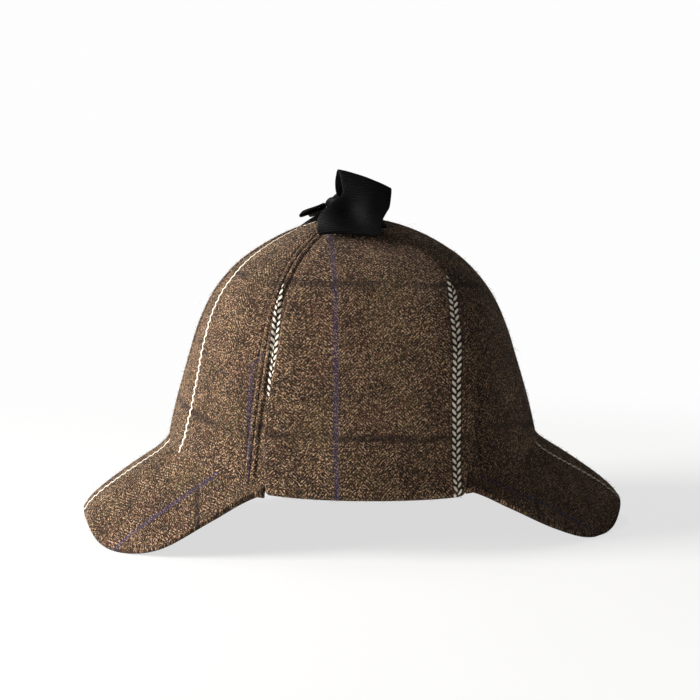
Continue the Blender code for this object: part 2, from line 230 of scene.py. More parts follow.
def eased(low: float, high: float, value: np.ndarray) -> np.ndarray:
    """A smooth step.

    Args:
        low: Where the step starts.
        high: Where it ends.
        value: The places to take it at.

    Returns:
        Shares from 0 at low to 1 at high.
    """
    share = np.clip((value - low) / (high - low), 0.0, 1.0)
    return share * share * (3.0 - 2.0 * share)


def spline(table: Sequence[Sequence[float]], share: np.ndarray) -> np.ndarray:
    """A smooth curve through all but the end rows of a table.

    Args:
        table: Rows in equal steps.
        share: How far along the table, from 0 to 1.

    Returns:
        The row at each share, in a last axis.
    """
    rows = np.array(table, float)
    place = np.clip(np.asarray(share, float), 0.0, 1.0) * (len(rows) - 3)
    index = np.minimum(place.astype(int), len(rows) - 4)
    t = (place - index)[..., None]
    a, b, c, d = (rows[index + step] for step in range(4))
    curve = 2.0 * b + (c - a) * t + (2.0 * a - 5.0 * b + 4.0 * c - d) * t * t
    return 0.5 * (curve + (3.0 * b - a - 3.0 * c + d) * t**3)


def lumps(places: np.ndarray, size: float, seed: float) -> np.ndarray:
    """Smooth noise.

    Args:
        places: Points in a last axis of three.
        size: The size of one lump in metres.
        seed: Moves the noise along.

    Returns:
        About -1 to 1 at each place.
    """
    flat = places.reshape(-1, 3) / size + seed
    found = np.fromiter((noise.noise(point) for point in flat), float, len(flat))
    return found.reshape(places.shape[:-1])


def unit(vectors: np.ndarray) -> np.ndarray:
    """The vectors of a last axis, each made one long."""
    length = np.linalg.norm(vectors, axis=-1, keepdims=True)
    return vectors / np.maximum(length, 1e-12)


def sheet_normals(points: np.ndarray) -> np.ndarray:
    """The unit normal at each point of a grid of points."""
    return unit(np.cross(np.gradient(points, axis=0), np.gradient(points, axis=1)))


def run_lengths(points: np.ndarray, axis: int) -> np.ndarray:
    """Measures along the lines of a grid of points, or along one line.

    Args:
        points: The points, in a last axis.
        axis: The axis that the lines run along.

    Returns:
        How far each point is from its line's start.
    """
    steps = np.linalg.norm(np.diff(points, axis=axis), axis=-1)
    start = np.zeros_like(np.take(steps, [0], axis=axis))
    return np.concatenate([start, np.cumsum(steps, axis=axis)], axis=axis)


def edge_drop(distance: np.ndarray, radius: float) -> np.ndarray:
    """How far a rounded edge falls below the flat face at a distance in from the edge."""
    inward = np.clip(radius - distance, 0.0, radius)
    return radius - np.sqrt(np.maximum(radius * radius - inward * inward, 0.0))


def fine_ends(count: int, length: float, fine: Sequence[float]) -> np.ndarray:
    """Shares along a line that has extra places near both ends.

    Args:
        count: How many equal steps lie between the fine parts.
        length: The line's length in metres.
        fine: Distances from an end, rising, in metres.

    Returns:
        Shares from 0 to 1.
    """
    ends = np.array(fine) / length
    middle = np.linspace(ends[-1], 1.0 - ends[-1], count + 1)[1:-1]
    return np.concatenate([ends, middle, 1.0 - ends[::-1]])


class CrownForm:
    """The crown's outer face, which every other piece is laid on."""

    STEPS = 2400

    def __init__(self, sizes: HatSizes) -> None:
        """Measures the outline.

        Args:
            sizes: The hat's sizes.
        """
        self.sizes = sizes
        self.ratio = sizes.crown_width / sizes.crown_length
        rows = spline(CROWN_OUTLINE, np.linspace(0.0, 1.0, self.STEPS + 1))
        self.heights = sizes.crown_height * rows[:, 0]
        self.reaches = sizes.crown_length / 2.0 * np.maximum(rows[:, 1], 0.0)
        steps = np.hypot(np.diff(self.heights), np.diff(self.reaches))
        self.lengths = np.concatenate([[0.0], np.cumsum(steps)])
        flare = self.STEPS // 20
        self.flare = (self.lengths[flare], self.heights[flare], self.reaches[flare])

    def outline(self, climb: np.ndarray) -> tuple[np.ndarray, np.ndarray]:
        """Reads the outline.

        Args:
            climb: Length up the outline from the rim line, below zero under it.

        Returns:
            The height above the rim line, and the reach.
        """
        slope = np.asarray(climb, float) / self.flare[0]
        first = self.reaches[0]
        height = np.interp(climb, self.lengths, self.heights)
        reach = np.interp(climb, self.lengths, self.reaches)
        below = slope <= 0.0
        flared = first + (self.flare[2] - first) * slope
        return np.where(below, self.flare[1] * slope, height), np.where(below, flared, reach)

    def climb_at(self, reach: np.ndarray) -> np.ndarray:
        """The length up the outline where the crown's half-length is reach."""
        return np.interp(-np.asarray(reach, float), -self.reaches, self.lengths)

    def seam_nearness(self, angle: np.ndarray) -> np.ndarray:
        """Says how near a seam is.

        Args:
            angle: Round the crown from +X.

        Returns:
            1 on a seam and 0 midway between two.
        """
        seam = self.sizes.side_seam
        turn = np.arccos(np.clip(np.abs(np.cos(angle)), 0.0, 1.0))
        beyond = 1.0 + 0.5 * (turn - seam) / (math.pi / 2.0 - seam)
        return np.cos(math.pi * np.where(turn < seam, turn / seam, beyond)) ** 6

    def face(self, angle: np.ndarray, climb: np.ndarray, pinch: float = 0.0) -> np.ndarray:
        """Points of the outer face.

        Args:
            angle: Round the crown from +X.
            climb: Length up the outline from the rim line.
            pinch: How far the seams draw the face in.

        Returns:
            Points in a last axis.
        """
        height, reach = self.outline(climb)
        fade = np.minimum(1.0, reach / (self.sizes.crown_length / 4.0))
        reach = np.maximum(reach - pinch * self.seam_nearness(angle) * fade, 0.0)
        x = reach * np.cos(angle)
        y = reach * np.sin(angle) * self.ratio
        z = np.broadcast_to(self.sizes.rim_height + height, x.shape)
        return np.stack([x, y, z], axis=-1)

    def point(
        self,
        angle: np.ndarray,
        climb: np.ndarray,
        out: np.ndarray | float = 0.0,
        pinch: float = 0.0,
    ) -> np.ndarray:
        """Points at a distance out from the outer face.

        Args:
            angle: Round the crown from +X.
            climb: Length up the outline from the rim line.
            out: Distance out from the face.
            pinch: How far the seams draw the face in.

        Returns:
            Points in a last axis.
        """
        angle, climb = np.broadcast_arrays(np.asarray(angle, float), np.asarray(climb, float))
        turn, rise = 0.01, 0.0006
        around = self.face(angle + turn, climb, pinch) - self.face(angle - turn, climb, pinch)
        up = self.face(angle, climb + rise, pinch) - self.face(angle, climb - rise, pinch)
        out = np.broadcast_to(out, angle.shape)[..., None]
        return self.face(angle, climb, pinch) + unit(np.cross(around, up)) * out

    def above(self, x: np.ndarray, y: np.ndarray, out: np.ndarray | float) -> np.ndarray:
        """Points out from the face where it has plan place (x, y)."""
        reach = np.maximum(np.hypot(x, y / self.ratio), self.sizes.tip_hole / 2.0)
        return self.point(np.arctan2(y / self.ratio, x), self.climb_at(reach), out)

    def rim_climb(self, angle: np.ndarray) -> np.ndarray:
        """Where the rim lies on the outline: it dips towards the sides."""
        dip = self.sizes.rim_dip * (1.0 - np.cos(angle) ** 4)
        return -dip * self.flare[0] / self.flare[1]

    def spread(self, angle: np.ndarray, climb: np.ndarray) -> np.ndarray:
        """Metres along the face for each radian of angle."""
        stretch = np.sqrt(np.sin(angle) ** 2 + (self.ratio * np.cos(angle)) ** 2)
        return np.maximum(self.outline(climb)[1], self.sizes.tip_hole) * stretch


class Sketch:
    """Adds shader nodes to a material and joins them."""

    def __init__(self, name: str) -> None:
        """Makes a material with a Principled shader.

        Args:
            name: The material's name.
        """
        self.material = bpy.data.materials.new(name)
        self.material.use_nodes = True
        self.tree = self.material.node_tree
        self.shader = self.tree.nodes["Principled BSDF"]

    def feed(self, socket: bpy.types.NodeSocket, value: object) -> None:
        """Links a socket, or sets its value.

        Args:
            socket: The socket that takes it.
            value: Another socket, or a plain value.
        """
        if isinstance(value, bpy.types.NodeSocket):
            self.tree.links.new(value, socket)
        else:
            socket.default_value = value

    def add(self, kind: str, settings: dict, inputs: dict) -> bpy.types.Node:
        """Adds a node.

        Args:
            kind: The node's type name.
            settings: Its properties.
            inputs: Its inputs by name or number.

        Returns:
            The node.
        """
        node = self.tree.nodes.new(kind)
        for key, value in settings.items():
            setattr(node, key, value)
        for key, value in inputs.items():
            self.feed(node.inputs[key], value)
        return node

    def math(self, operation: str, *values: object) -> bpy.types.NodeSocket:
        """A sum of one to three values."""
        inputs = dict(enumerate(values))
        return self.add("ShaderNodeMath", {"operation": operation}, inputs).outputs[0]

    def step(self, value: object, low: float, high: float) -> bpy.types.NodeSocket:
        """A smooth step, which falls instead where low is above high.

        Args:
            value: What it is taken at.
            low: Where it is 0.
            high: Where it is 1.

        Returns:
            The step's share.
        """
        settings = {"interpolation_type": "SMOOTHSTEP"}
        inputs = {0: value, 1: low, 2: high, 3: 0.0, 4: 1.0}
        if low > high:
            inputs.update({1: high, 2: low, 3: 1.0, 4: 0.0})
        return self.add("ShaderNodeMapRange", settings, inputs).outputs[0]

    def mix(self, share: object, first: object, second: object) -> bpy.types.NodeSocket:
        """A colour between two colours."""
        settings = {"data_type": "RGBA"}
        return self.add("ShaderNodeMix", settings, {0: share, 6: first, 7: second}).outputs[2]

    def vector(self, x: object, y: object, z: object = 0.0) -> bpy.types.NodeSocket:
        """A vector from three values."""
        return self.add("ShaderNodeCombineXYZ", {}, {0: x, 1: y, 2: z}).outputs[0]

    def cloth_place(self) -> tuple[bpy.types.NodeSocket, bpy.types.NodeSocket]:
        """Reads the place on the flat cloth.

        Returns:
            The places across and along it, in millimetres.
        """
        place = self.add("ShaderNodeAttribute", {"attribute_name": "cloth"}, {})
        scaled = self.add(
            "ShaderNodeVectorMath", {"operation": "SCALE"}, {0: place.outputs["Vector"], 3: 1000.0}
        )
        parts = self.add("ShaderNodeSeparateXYZ", {}, {0: scaled.outputs[0]})
        return parts.outputs[0], parts.outputs[1]

    def noise(self, place: object, scale: float, detail: float) -> bpy.types.NodeSocket:
        """Smooth noise from 0 to 1."""
        inputs = {"Vector": place, "Scale": scale, "Detail": detail, "Roughness": 0.6}
        return self.add("ShaderNodeTexNoise", {}, inputs).outputs["Fac"]

    def bump(self, height: object, strength: float, distance: float) -> None:
        """Gives the shader a relief of so many metres."""
        inputs = {"Strength": strength, "Distance": distance, "Height": height}
        relief = self.add("ShaderNodeBump", {}, inputs)
        self.feed(self.shader.inputs["Normal"], relief.outputs[0])


@dataclass(frozen=True)
class Yarn:
    """The tweed's patterns before they are coloured, as shader sockets."""

    across: bpy.types.NodeSocket
    along: bpy.types.NodeSocket
    wobbled: bpy.types.NodeSocket
    wave: bpy.types.NodeSocket
    streak: bpy.types.NodeSocket
    floats: bpy.types.Node
    fine: bpy.types.NodeSocket
    broad: bpy.types.NodeSocket
    patch: bpy.types.NodeSocket


@dataclass(frozen=True)
class Tweed:
    """One cloth for the whole hat: herringbone, with an overcheck of stripes.

    Sizes are in millimetres of flat cloth, and a scale is in lumps to the millimetre.
    """

    dark: Colour = (0.0065, 0.0031, 0.0018, 1.0)
    middle: Colour = (0.050, 0.0255, 0.0132, 1.0)
    light: Colour = (0.520, 0.338, 0.206, 1.0)
    cream: Colour = (0.960, 0.870, 0.730, 1.0)
    violet: Colour = (0.028, 0.022, 0.070, 1.0)
    rust: Colour = (0.170, 0.052, 0.030, 1.0)
    olive: Colour = (0.140, 0.112, 0.032, 1.0)
    column: float = 10.0
    twill: float = 1.9
    wobble: float = 0.9
    float_scale: float = 1.35
    streak_scales: tuple[float, float] = (1.35, 0.48)
    fine_scale: float = 1.65
    broad_scale: float = 0.055
    patch_scale: float = 0.031
    fleck_share: float = 0.30
    rust_share: float = 0.07
    olive_share: float = 0.08
    repeat: float = 222.2
    weft_repeat: float = 82.5
    zigzag_at: float = 0.0
    violet_at: float = 48.8
    bold_at: float = 111.1
    zigzag_pitch: float = 4.1
    zigzag_swing: float = 0.75
    bold_pitch: float = 3.7
    bold_slant: float = 0.95
    bold_column: float = 1.20
    bold_width: float = 1.05
    bold_length: float = 0.28
    relief: float = 0.80

    def _yarn(self, sketch: Sketch) -> Yarn:
        """Lays out the weave's patterns.

        Args:
            sketch: Takes the nodes.

        Returns:
            The patterns.
        """
        across, along = sketch.cloth_place()
        flat = sketch.vector(across, along)
        wobbled = sketch.math("MULTIPLY_ADD", sketch.noise(flat, 0.9, 2.0), self.wobble, across)
        column = sketch.math("FLOOR", sketch.math("DIVIDE", wobbled, self.column))
        odd = sketch.math("FLOORED_MODULO", column, 2.0)
        turn = sketch.math("MULTIPLY_ADD", odd, -2.0, 1.0)
        back_turn = sketch.math("MULTIPLY", turn, -1.0)
        slanted = sketch.math("MULTIPLY_ADD", wobbled, turn, along)
        crossed = sketch.math("MULTIPLY_ADD", along, back_turn, wobbled)
        streak_place = sketch.vector(
            sketch.math("MULTIPLY", slanted, self.streak_scales[0]),
            sketch.math("MULTIPLY", crossed, self.streak_scales[1]),
        )
        cells = sketch.add(
            "ShaderNodeTexVoronoi",
            {"voronoi_dimensions": "2D"},
            {"Vector": flat, "Scale": self.float_scale},
        )
        return Yarn(
            across=across,
            along=along,
            wobbled=wobbled,
            wave=sketch.math("SINE", sketch.math("MULTIPLY", slanted, math.tau / self.twill)),
            streak=sketch.noise(streak_place, 1.0, 2.0),
            floats=sketch.add("ShaderNodeSeparateColor", {}, {0: cells.outputs["Color"]}),
            fine=sketch.noise(flat, self.fine_scale, 3.0),
            broad=sketch.noise(flat, self.broad_scale, 3.0),
            patch=sketch.noise(flat, self.patch_scale, 1.0),
        )

    def _ground(self, sketch: Sketch, yarn: Yarn) -> bpy.types.NodeSocket:
        """The cloth's own brown, in three tones with flecks of rust and olive.

        Args:
            sketch: Takes the nodes.
            yarn: The weave's patterns.

        Returns:
            The colour.
        """
        shade = sketch.math("MULTIPLY_ADD", yarn.wave, 0.090, -1.31)
        weights = (
            (yarn.floats.outputs[0], 0.34),
            (yarn.streak, 1.55),
            (yarn.fine, 1.15),
            (yarn.broad, 0.30),
        )
        for pattern, weight in weights:
            shade = sketch.math("MULTIPLY_ADD", pattern, weight, shade)
        colour = sketch.mix(sketch.step(shade, 0.22, 0.40), self.dark, self.middle)
        colour = sketch.mix(sketch.step(shade, 0.50, 0.62), colour, self.light)
        tints = (
            (self.rust, yarn.floats.outputs[1], (0.50, 0.72), self.rust_share),
            (self.olive, yarn.floats.outputs[2], (0.50, 0.30), self.olive_share),
        )
        for tint, pick, patch_edges, patch_share in tints:
            patch = sketch.math("MULTIPLY", sketch.step(yarn.patch, *patch_edges), patch_share)
            fleck = sketch.step(pick, 0.80, 0.92)
            share = sketch.math("MULTIPLY_ADD", fleck, self.fleck_share, patch)
            colour = sketch.mix(share, colour, tint)
        return colour

    def _stripe_gap(
        self, sketch: Sketch, across: object, centre: float
    ) -> bpy.types.NodeSocket:
        """Finds a stripe that runs along the cloth.

        Args:
            sketch: Takes the nodes.
            across: The place across the cloth.
            centre: Where the stripe's middle is.

        Returns:
            Signed millimetres from the nearest repeat of its middle.
        """
        half = self.repeat / 2.0
        moved = sketch.math("ADD", across, half - centre)
        wrapped = sketch.math("FLOORED_MODULO", moved, self.repeat)
        return sketch.math("SUBTRACT", wrapped, half)

    def _violet_line(self, sketch: Sketch, yarn: Yarn) -> bpy.types.NodeSocket:
        """The thin violet line, broken where the ground's yarn crosses it.

        Args:
            sketch: Takes the nodes.
            yarn: The weave's patterns.

        Returns:
            Its share of the colour.
        """
        gap = sketch.math("ABSOLUTE", self._stripe_gap(sketch, yarn.wobbled, self.violet_at))
        line = sketch.step(gap, 1.9, 0.5)
        line = sketch.math("MULTIPLY", line, sketch.step(yarn.fine, 0.64, 0.42))
        return sketch.math("MULTIPLY", line, 0.85)

    def _weft_band(self, sketch: Sketch, yarn: Yarn) -> bpy.types.NodeSocket:
        """The faint dark band across the cloth, made of slanted dashes.

        Args:
            sketch: Takes the nodes.
            yarn: The weave's patterns.

        Returns:
            Its share of the colour.
        """
        place = sketch.math("FLOORED_MODULO", yarn.along, self.weft_repeat)
        gap = sketch.math("ABSOLUTE", sketch.math("SUBTRACT", place, self.weft_repeat / 2.0))
        dashes = sketch.math("MULTIPLY_ADD", sketch.step(yarn.wave, -0.7, 0.4), 0.70, 0.12)
        band = sketch.math("MULTIPLY", sketch.step(gap, 3.0, 0.7), dashes)
        return sketch.math("MULTIPLY", band, sketch.step(yarn.patch, 0.25, 0.50))

    def _bold(self, sketch: Sketch, yarn: Yarn) -> bpy.types.NodeSocket:
        """The bold stripe: two columns of slanted cream floats.

        Args:
            sketch: Takes the nodes.
            yarn: The weave's patterns.

        Returns:
            1 on a float and 0 off it.
        """
        gap = self._stripe_gap(sketch, yarn.across, self.bold_at)
        away = sketch.math("ABSOLUTE", gap)
        right = sketch.math("GREATER_THAN", gap, 0.0)
        slanted = sketch.math("MULTIPLY_ADD", away, -self.bold_slant, yarn.along)
        phase = sketch.math("DIVIDE", slanted, self.bold_pitch)
        phase = sketch.math("MULTIPLY_ADD", right, 0.5, phase)
        place = sketch.math("SUBTRACT", sketch.math("FRACT", phase), 0.5)
        length = sketch.math("ABSOLUTE", sketch.math("DIVIDE", place, self.bold_length))
        width = sketch.math("SUBTRACT", away, self.bold_column)
        width = sketch.math("ABSOLUTE", sketch.math("DIVIDE", width, self.bold_width))
        shape = sketch.math("POWER", width, 2.4)
        shape = sketch.math("ADD", shape, sketch.math("POWER", length, 2.4))
        return sketch.step(shape, 1.3, 0.7)

    def _zigzag(self, sketch: Sketch, yarn: Yarn) -> bpy.types.NodeSocket:
        """The thin stripe: one cream thread that swings from side to side.

        Args:
            sketch: Takes the nodes.
            yarn: The weave's patterns.

        Returns:
            1 on the thread and 0 off it.
        """
        gap = self._stripe_gap(sketch, yarn.across, self.zigzag_at)
        swing = sketch.math("PINGPONG", sketch.math("DIVIDE", yarn.along, self.zigzag_pitch), 0.5)
        reach = 4.0 * self.zigzag_swing
        middle = sketch.math("MULTIPLY_ADD", swing, reach, -self.zigzag_swing)
        away = sketch.math("ABSOLUTE", sketch.math("SUBTRACT", gap, middle))
        return sketch.step(away, 0.85, 0.45)

    def build(self) -> bpy.types.Material:
        """Makes the material.

        Returns:
            The material, which reads the cloth attribute.
        """
        sketch = Sketch("tweed_cloth")
        yarn = self._yarn(sketch)
        colour = self._ground(sketch, yarn)
        colour = sketch.mix(self._violet_line(sketch, yarn), colour, self.violet)
        colour = sketch.mix(self._weft_band(sketch, yarn), colour, self.dark)
        gap = sketch.math("ABSOLUTE", self._stripe_gap(sketch, yarn.across, self.bold_at))
        bed = sketch.math("MULTIPLY", sketch.step(gap, 3.1, 2.3), 0.80)
        colour = sketch.mix(bed, colour, self.dark)
        bold = self._bold(sketch, yarn)
        cream = sketch.math("MAXIMUM", bold, self._zigzag(sketch, yarn))
        worn = sketch.math("MULTIPLY_ADD", yarn.fine, 0.5, 0.72)
        colour = sketch.mix(sketch.math("MULTIPLY", cream, worn), colour, self.cream)

        relief = sketch.math("MULTIPLY", yarn.streak, 1.2)
        for pattern, height in ((yarn.wave, 0.16), (yarn.fine, 1.2), (cream, 0.7)):
            relief = sketch.math("MULTIPLY_ADD", pattern, height, relief)
        sketch.bump(relief, 1.0, self.relief * MM)
        sketch.feed(sketch.shader.inputs["Base Color"], colour)
        sketch.shader.inputs["Roughness"].default_value = 0.95
        sketch.shader.inputs["Specular IOR Level"].default_value = 0.15
        sketch.shader.inputs["Sheen Weight"].default_value = 0.05
        sketch.shader.inputs["Sheen Roughness"].default_value = 0.55
        return sketch.material


@dataclass(frozen=True)
class Grosgrain:
    """Ribbed black ribbon, with painted shade in the grooves between its ribs. Sizes in mm."""

    base: Colour = (0.0016, 0.0017, 0.0022, 1.0)
    # The groove colour is painted shade, laid in the hollows between the ribs.
    groove_shade: Colour = (0.0006, 0.0006, 0.0008, 1.0)
    rib: float = 1.15
    relief: float = 0.24

    def build(self) -> bpy.types.Material:
        """Makes the material.

        Returns:
            The material, which reads the cloth attribute.
        """
        sketch = Sketch("ribbon_grosgrain")
        across, along = sketch.cloth_place()
        wave = sketch.math("SINE", sketch.math("MULTIPLY", along, math.tau / self.rib))
        flat = sketch.vector(across, along)
        fine = sketch.noise(flat, 2.2, 2.0)
        broad = sketch.noise(flat, 0.12, 2.0)
        relief = sketch.math("MULTIPLY_ADD", wave, 0.5, sketch.math("MULTIPLY", fine, 0.25))
        sketch.bump(relief, 0.9, self.relief * MM)
        # Painted shade: the colour falls to the groove colour in the hollows between the ribs.
        tone = sketch.mix(sketch.step(wave, -1.0, 0.6), self.groove_shade, self.base)
        rough = sketch.math("MULTIPLY_ADD", broad, 0.14, 0.46)
        sketch.feed(sketch.shader.inputs["Base Color"], tone)
        sketch.feed(sketch.shader.inputs["Roughness"], rough)
        sketch.shader.inputs["Specular IOR Level"].default_value = 0.11
        return sketch.material


@dataclass(frozen=True)
class Thread:
    """Sewing thread, or a wool fibre, of one colour with a twist."""

    name: str
    base: Colour
    dark: Colour

    def build(self) -> bpy.types.Material:
        """Makes the material.

        Returns:
            The material, patterned in object space.
        """
        sketch = Sketch(self.name)
        place = sketch.add("ShaderNodeTexCoord", {}, {}).outputs["Object"]
        tone = sketch.noise(place, 260.0, 2.0)
        colour = sketch.mix(sketch.step(tone, 0.35, 0.65), self.dark, self.base)
        sketch.feed(sketch.shader.inputs["Base Color"], colour)
        sketch.shader.inputs["Roughness"].default_value = 0.8
        sketch.shader.inputs["Specular IOR Level"].default_value = 0.25
        return sketch.material


@dataclass(frozen=True)
class Finishes:
    """The made materials."""

    tweed: bpy.types.Material
    ribbon: bpy.types.Material
    seam_thread: bpy.types.Material
    fibre: bpy.types.Material
    pale_fibre: bpy.types.Material


def make_finishes() -> Finishes:
    """Makes every material of the hat.

    Returns:
        The materials.
    """
    return Finishes(
        tweed=Tweed().build(),
        ribbon=Grosgrain().build(),
        # The seam thread's dark brown is partly its own colour and partly painted shade for the
        # stitch lines along the seams.
        seam_thread=Thread(
            "seam_thread", (0.020, 0.012, 0.009, 1.0), (0.005, 0.003, 0.002, 1.0)
        ).build(),
        fibre=Thread("wool_fibre", (0.20, 0.132, 0.084, 1.0), (0.02, 0.012, 0.008, 1.0)).build(),
        pale_fibre=Thread(
            "pale_wool_fibre", (0.62, 0.52, 0.42, 1.0), (0.34, 0.26, 0.20, 1.0)
        ).build(),
    )


def add_grid(
    mesh: bmesh.types.BMesh, places: np.ndarray, cloth: np.ndarray
) -> dict[bmesh.types.BMVert, int]:
    """Adds a grid with its points placed.

    Args:
        mesh: Takes the grid.
        places: Points by column and row.
        cloth: Where each lies on the flat cloth, in metres.

    Returns:
        The row of each of the grid's vertices.
    """
    layer = mesh.verts.layers.float_vector["cloth"]
    columns, rows = places.shape[0] - 1, places.shape[1] - 1
    made = bmesh.ops.create_grid(mesh, x_segments=columns, y_segments=rows, size=0.5)
    row_of = {}
    for vert in made["verts"]:
        i = round((vert.co.x + 0.5) * columns)
        j = round((vert.co.y + 0.5) * rows)
        row_of[vert] = j
        vert.co = places[i, j]
        vert[layer] = (cloth[i, j, 0], cloth[i, j, 1], 0.0)
    return row_of


def new_mesh() -> bmesh.types.BMesh:
    """An empty mesh that can hold cloth places."""
    mesh = bmesh.new()
    mesh.verts.layers.float_vector.new("cloth")
    return mesh


def closed_wall(face: np.ndarray, back: np.ndarray, cloth: np.ndarray) -> bmesh.types.BMesh:
    """Makes a closed mesh between two grids of points, joined round their edges.

    Args:
        face: Points of the outer face by column and row.
        back: Points of the inner face.
        cloth: Where each lies on the flat cloth, in metres.

    Returns:
        The mesh.
    """
    mesh = new_mesh()
    add_grid(mesh, face, cloth)
    first = set(mesh.faces)
    add_grid(mesh, back, cloth)
    bmesh.ops.reverse_faces(mesh, faces=[f for f in mesh.faces if f not in first])
    bmesh.ops.bridge_loops(mesh, edges=[edge for edge in mesh.edges if edge.is_boundary])
    return mesh


def finish_piece(
    name: str,
    mesh: bmesh.types.BMesh,
    look: bpy.types.Material,
    nodes: Iterable[str] = (),
) -> bpy.types.Object:
    """Turns a mesh into a piece that rides the hat.

    Args:
        name: The piece's name.
        mesh: Its mesh, which is freed.
        look: Its material.
        nodes: The solid model's nodes that it takes the place of.

    Returns:
        The piece.
    """
    bmesh.ops.recalc_face_normals(mesh, faces=mesh.faces)
    data = bpy.data.meshes.new(name)
    mesh.to_mesh(data)
    mesh.free()
    data.materials.append(look)
    data.shade_smooth()
    piece = bpy.data.objects.new(name, data)
    bpy.context.scene.collection.objects.link(piece)
    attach(piece, "root")
    if nodes:
        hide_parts(*nodes)
    LOG.info("%s: %d faces", name, len(data.polygons))
    return piece


@dataclass(frozen=True)
class Laid:
    """A finished face of tweed: its points and their normals."""

    points: np.ndarray
    normals: np.ndarray


@dataclass
class CrownPanel:
    """One of the crown's panels, between two seams, from the rim to the tip."""

    name: str
    start: float
    end: float
    cut: tuple[float, float]
    slant: float
    drift: tuple[tuple[float, float, float], ...]
    form: CrownForm
    finishes: Finishes

    EDGES = tuple(MM * step for step in (0, 0.2, 0.5, 0.9, 1.4, 2.0, 2.7, 3.2, 3.6, 4.1, 5.0, 7.0))
    COLUMNS = 34
    ROWS = 92
    SEAM_BAND = 3.6 * MM
    SEAM_OVERLAP = 0.06 * MM
    ALLOWANCE = 0.34 * MM
    PUCKER_PITCH = 3.1 * MM
    EDGE_ROUND = 0.9 * MM
    BACK_ROUND = 0.7 * MM
    DRIFT_REACH = 36.0 * MM
    THREAD_DEPTH = 0.28 * MM
    STITCH_END_REACH = 13.0 * MM

    def relief(self, gap: np.ndarray, climb: np.ndarray, shrink: np.ndarray) -> np.ndarray:
        """How far the cloth stands out near a seam.

        Args:
            gap: Distance from the nearest seam.
            climb: Length up the crown.
            shrink: 1 low on the crown, falling to 0 at its tip.

        Returns:
            Metres out from the smooth face.
        """
        pucker = 0.5 + 0.5 * np.sin(climb / self.PUCKER_PITCH * 2.0)
        allowance = self.ALLOWANCE * eased(0.3 * MM, 1.6 * MM, gap)
        allowance = allowance * (1.0 - eased(0.62, 1.0, gap / self.SEAM_BAND))
        channel = np.exp(-(((gap - self.SEAM_BAND) / (0.60 * MM)) ** 2))
        channel = (0.52 + 0.18 * pucker) * MM * channel
        return (allowance - channel) * shrink - edge_drop(gap, self.EDGE_ROUND)

    def cloth(self, angle: np.ndarray, climb: np.ndarray) -> np.ndarray:
        """Lays the panel out on the flat cloth.

        Args:
            angle: Round the crown from +X.
            climb: Length up the crown.

        Returns:
            Where each point lies across and along the cloth, in metres.
        """
        middle = (self.start + self.end) / 2.0
        across = (angle - middle) * self.form.spread((angle + middle) / 2.0, climb)
        climbs, shifts, far_shifts = zip(*self.drift)
        share = np.clip(across / self.DRIFT_REACH, 0.0, 1.0)
        across = across - np.interp(climb, climbs, shifts) * (1.0 - share)
        across = across - np.interp(climb, climbs, far_shifts) * share
        along = climb + self.slant * across + self.cut[1]
        return np.stack([across + self.cut[0], along], axis=-1)

    def build(self) -> Laid:
        """Makes the piece.

        Returns:
            Its outer face.
        """
        form, sizes = self.form, self.form.sizes
        middle = (self.start + self.end) / 2.0
        rim = form.rim_climb(middle)
        top = float(form.climb_at(sizes.tip_hole))
        shares = fine_ends(self.ROWS, top - float(rim), (0.0, 0.3 * MM, 0.8 * MM, 1.5 * MM))
        rough_climb = rim + (top - rim) * shares
        half_turn = (self.end - self.start) / 2.0
        width = form.spread(middle, rough_climb) * half_turn * 2.0
        fine = np.array(self.EDGES)
        scale = np.minimum(1.0, 0.40 * width / fine[-1])
        inset = fine[:, None] * scale - self.SEAM_OVERLAP
        near = inset / form.spread(self.start, rough_climb)
        far = inset / form.spread(self.end, rough_climb)
        left = self.start + near
        right = (self.end - far)[::-1]
        steps = np.linspace(0.0, 1.0, self.COLUMNS + 1)[1:-1, None]
        inner = left[-1] + (right[0] - left[-1]) * steps
        angle = np.concatenate([left, inner, right])
        climb = form.rim_climb(angle) * (1.0 - shares) + top * shares
        gap = np.minimum(
            (angle - self.start) * form.spread(self.start, climb),
            (self.end - angle) * form.spread(self.end, climb),
        )
        gap = np.maximum(gap + self.SEAM_OVERLAP, 0.0)
        shrink = np.clip(width / 0.030 - 0.15, 0.0, 1.0)
        smooth = form.face(angle, climb)
        calm = shrink * eased(0.0, 6.0 * MM, gap)
        soft = 0.55 * MM * (lumps(smooth, 0.045, 3.0) - 0.55)
        soft = soft + 0.16 * MM * lumps(smooth, 0.012, 9.0)
        from_rim = climb - form.rim_climb(angle)
        above_rim = eased(1.5 * MM, 7.0 * MM, from_rim)
        shrink = shrink * (0.15 + 0.85 * above_rim)
        out = self.relief(gap, climb, shrink) + np.minimum(soft, 0.05 * MM) * calm
        rim_drop = edge_drop(from_rim, self.EDGE_ROUND)
        face = form.point(angle, climb, out - rim_drop, sizes.seam_pinch)
        back_drop = edge_drop(gap, self.BACK_ROUND) + rim_drop
        back = form.point(angle, climb, back_drop - sizes.cloth, sizes.seam_pinch)

        mesh = closed_wall(face, back, self.cloth(angle, climb))
        piece = finish_piece(
            "tweed_" + self.name, mesh, self.finishes.tweed, [self.name]
        )
        return Laid(face, sheet_normals(face))

    def stitch_lines(self) -> list[np.ndarray]:
        """Lays out the panel's two lines of topstitching.

        Returns:
            Points on its face along each line, from the rim up.
        """
        form = self.form
        top = float(form.climb_at(self.STITCH_END_REACH))
        lines = []
        for seam, way in ((self.start, 1.0), (self.end, -1.0)):
            climb = np.linspace(float(form.rim_climb(seam)) + 2.0 * MM, top, 400)
            angle = seam + way * (self.SEAM_BAND - self.SEAM_OVERLAP) / form.spread(seam, climb)
            lines.append(form.point(angle, climb, -self.THREAD_DEPTH, form.sizes.seam_pinch))
        return lines


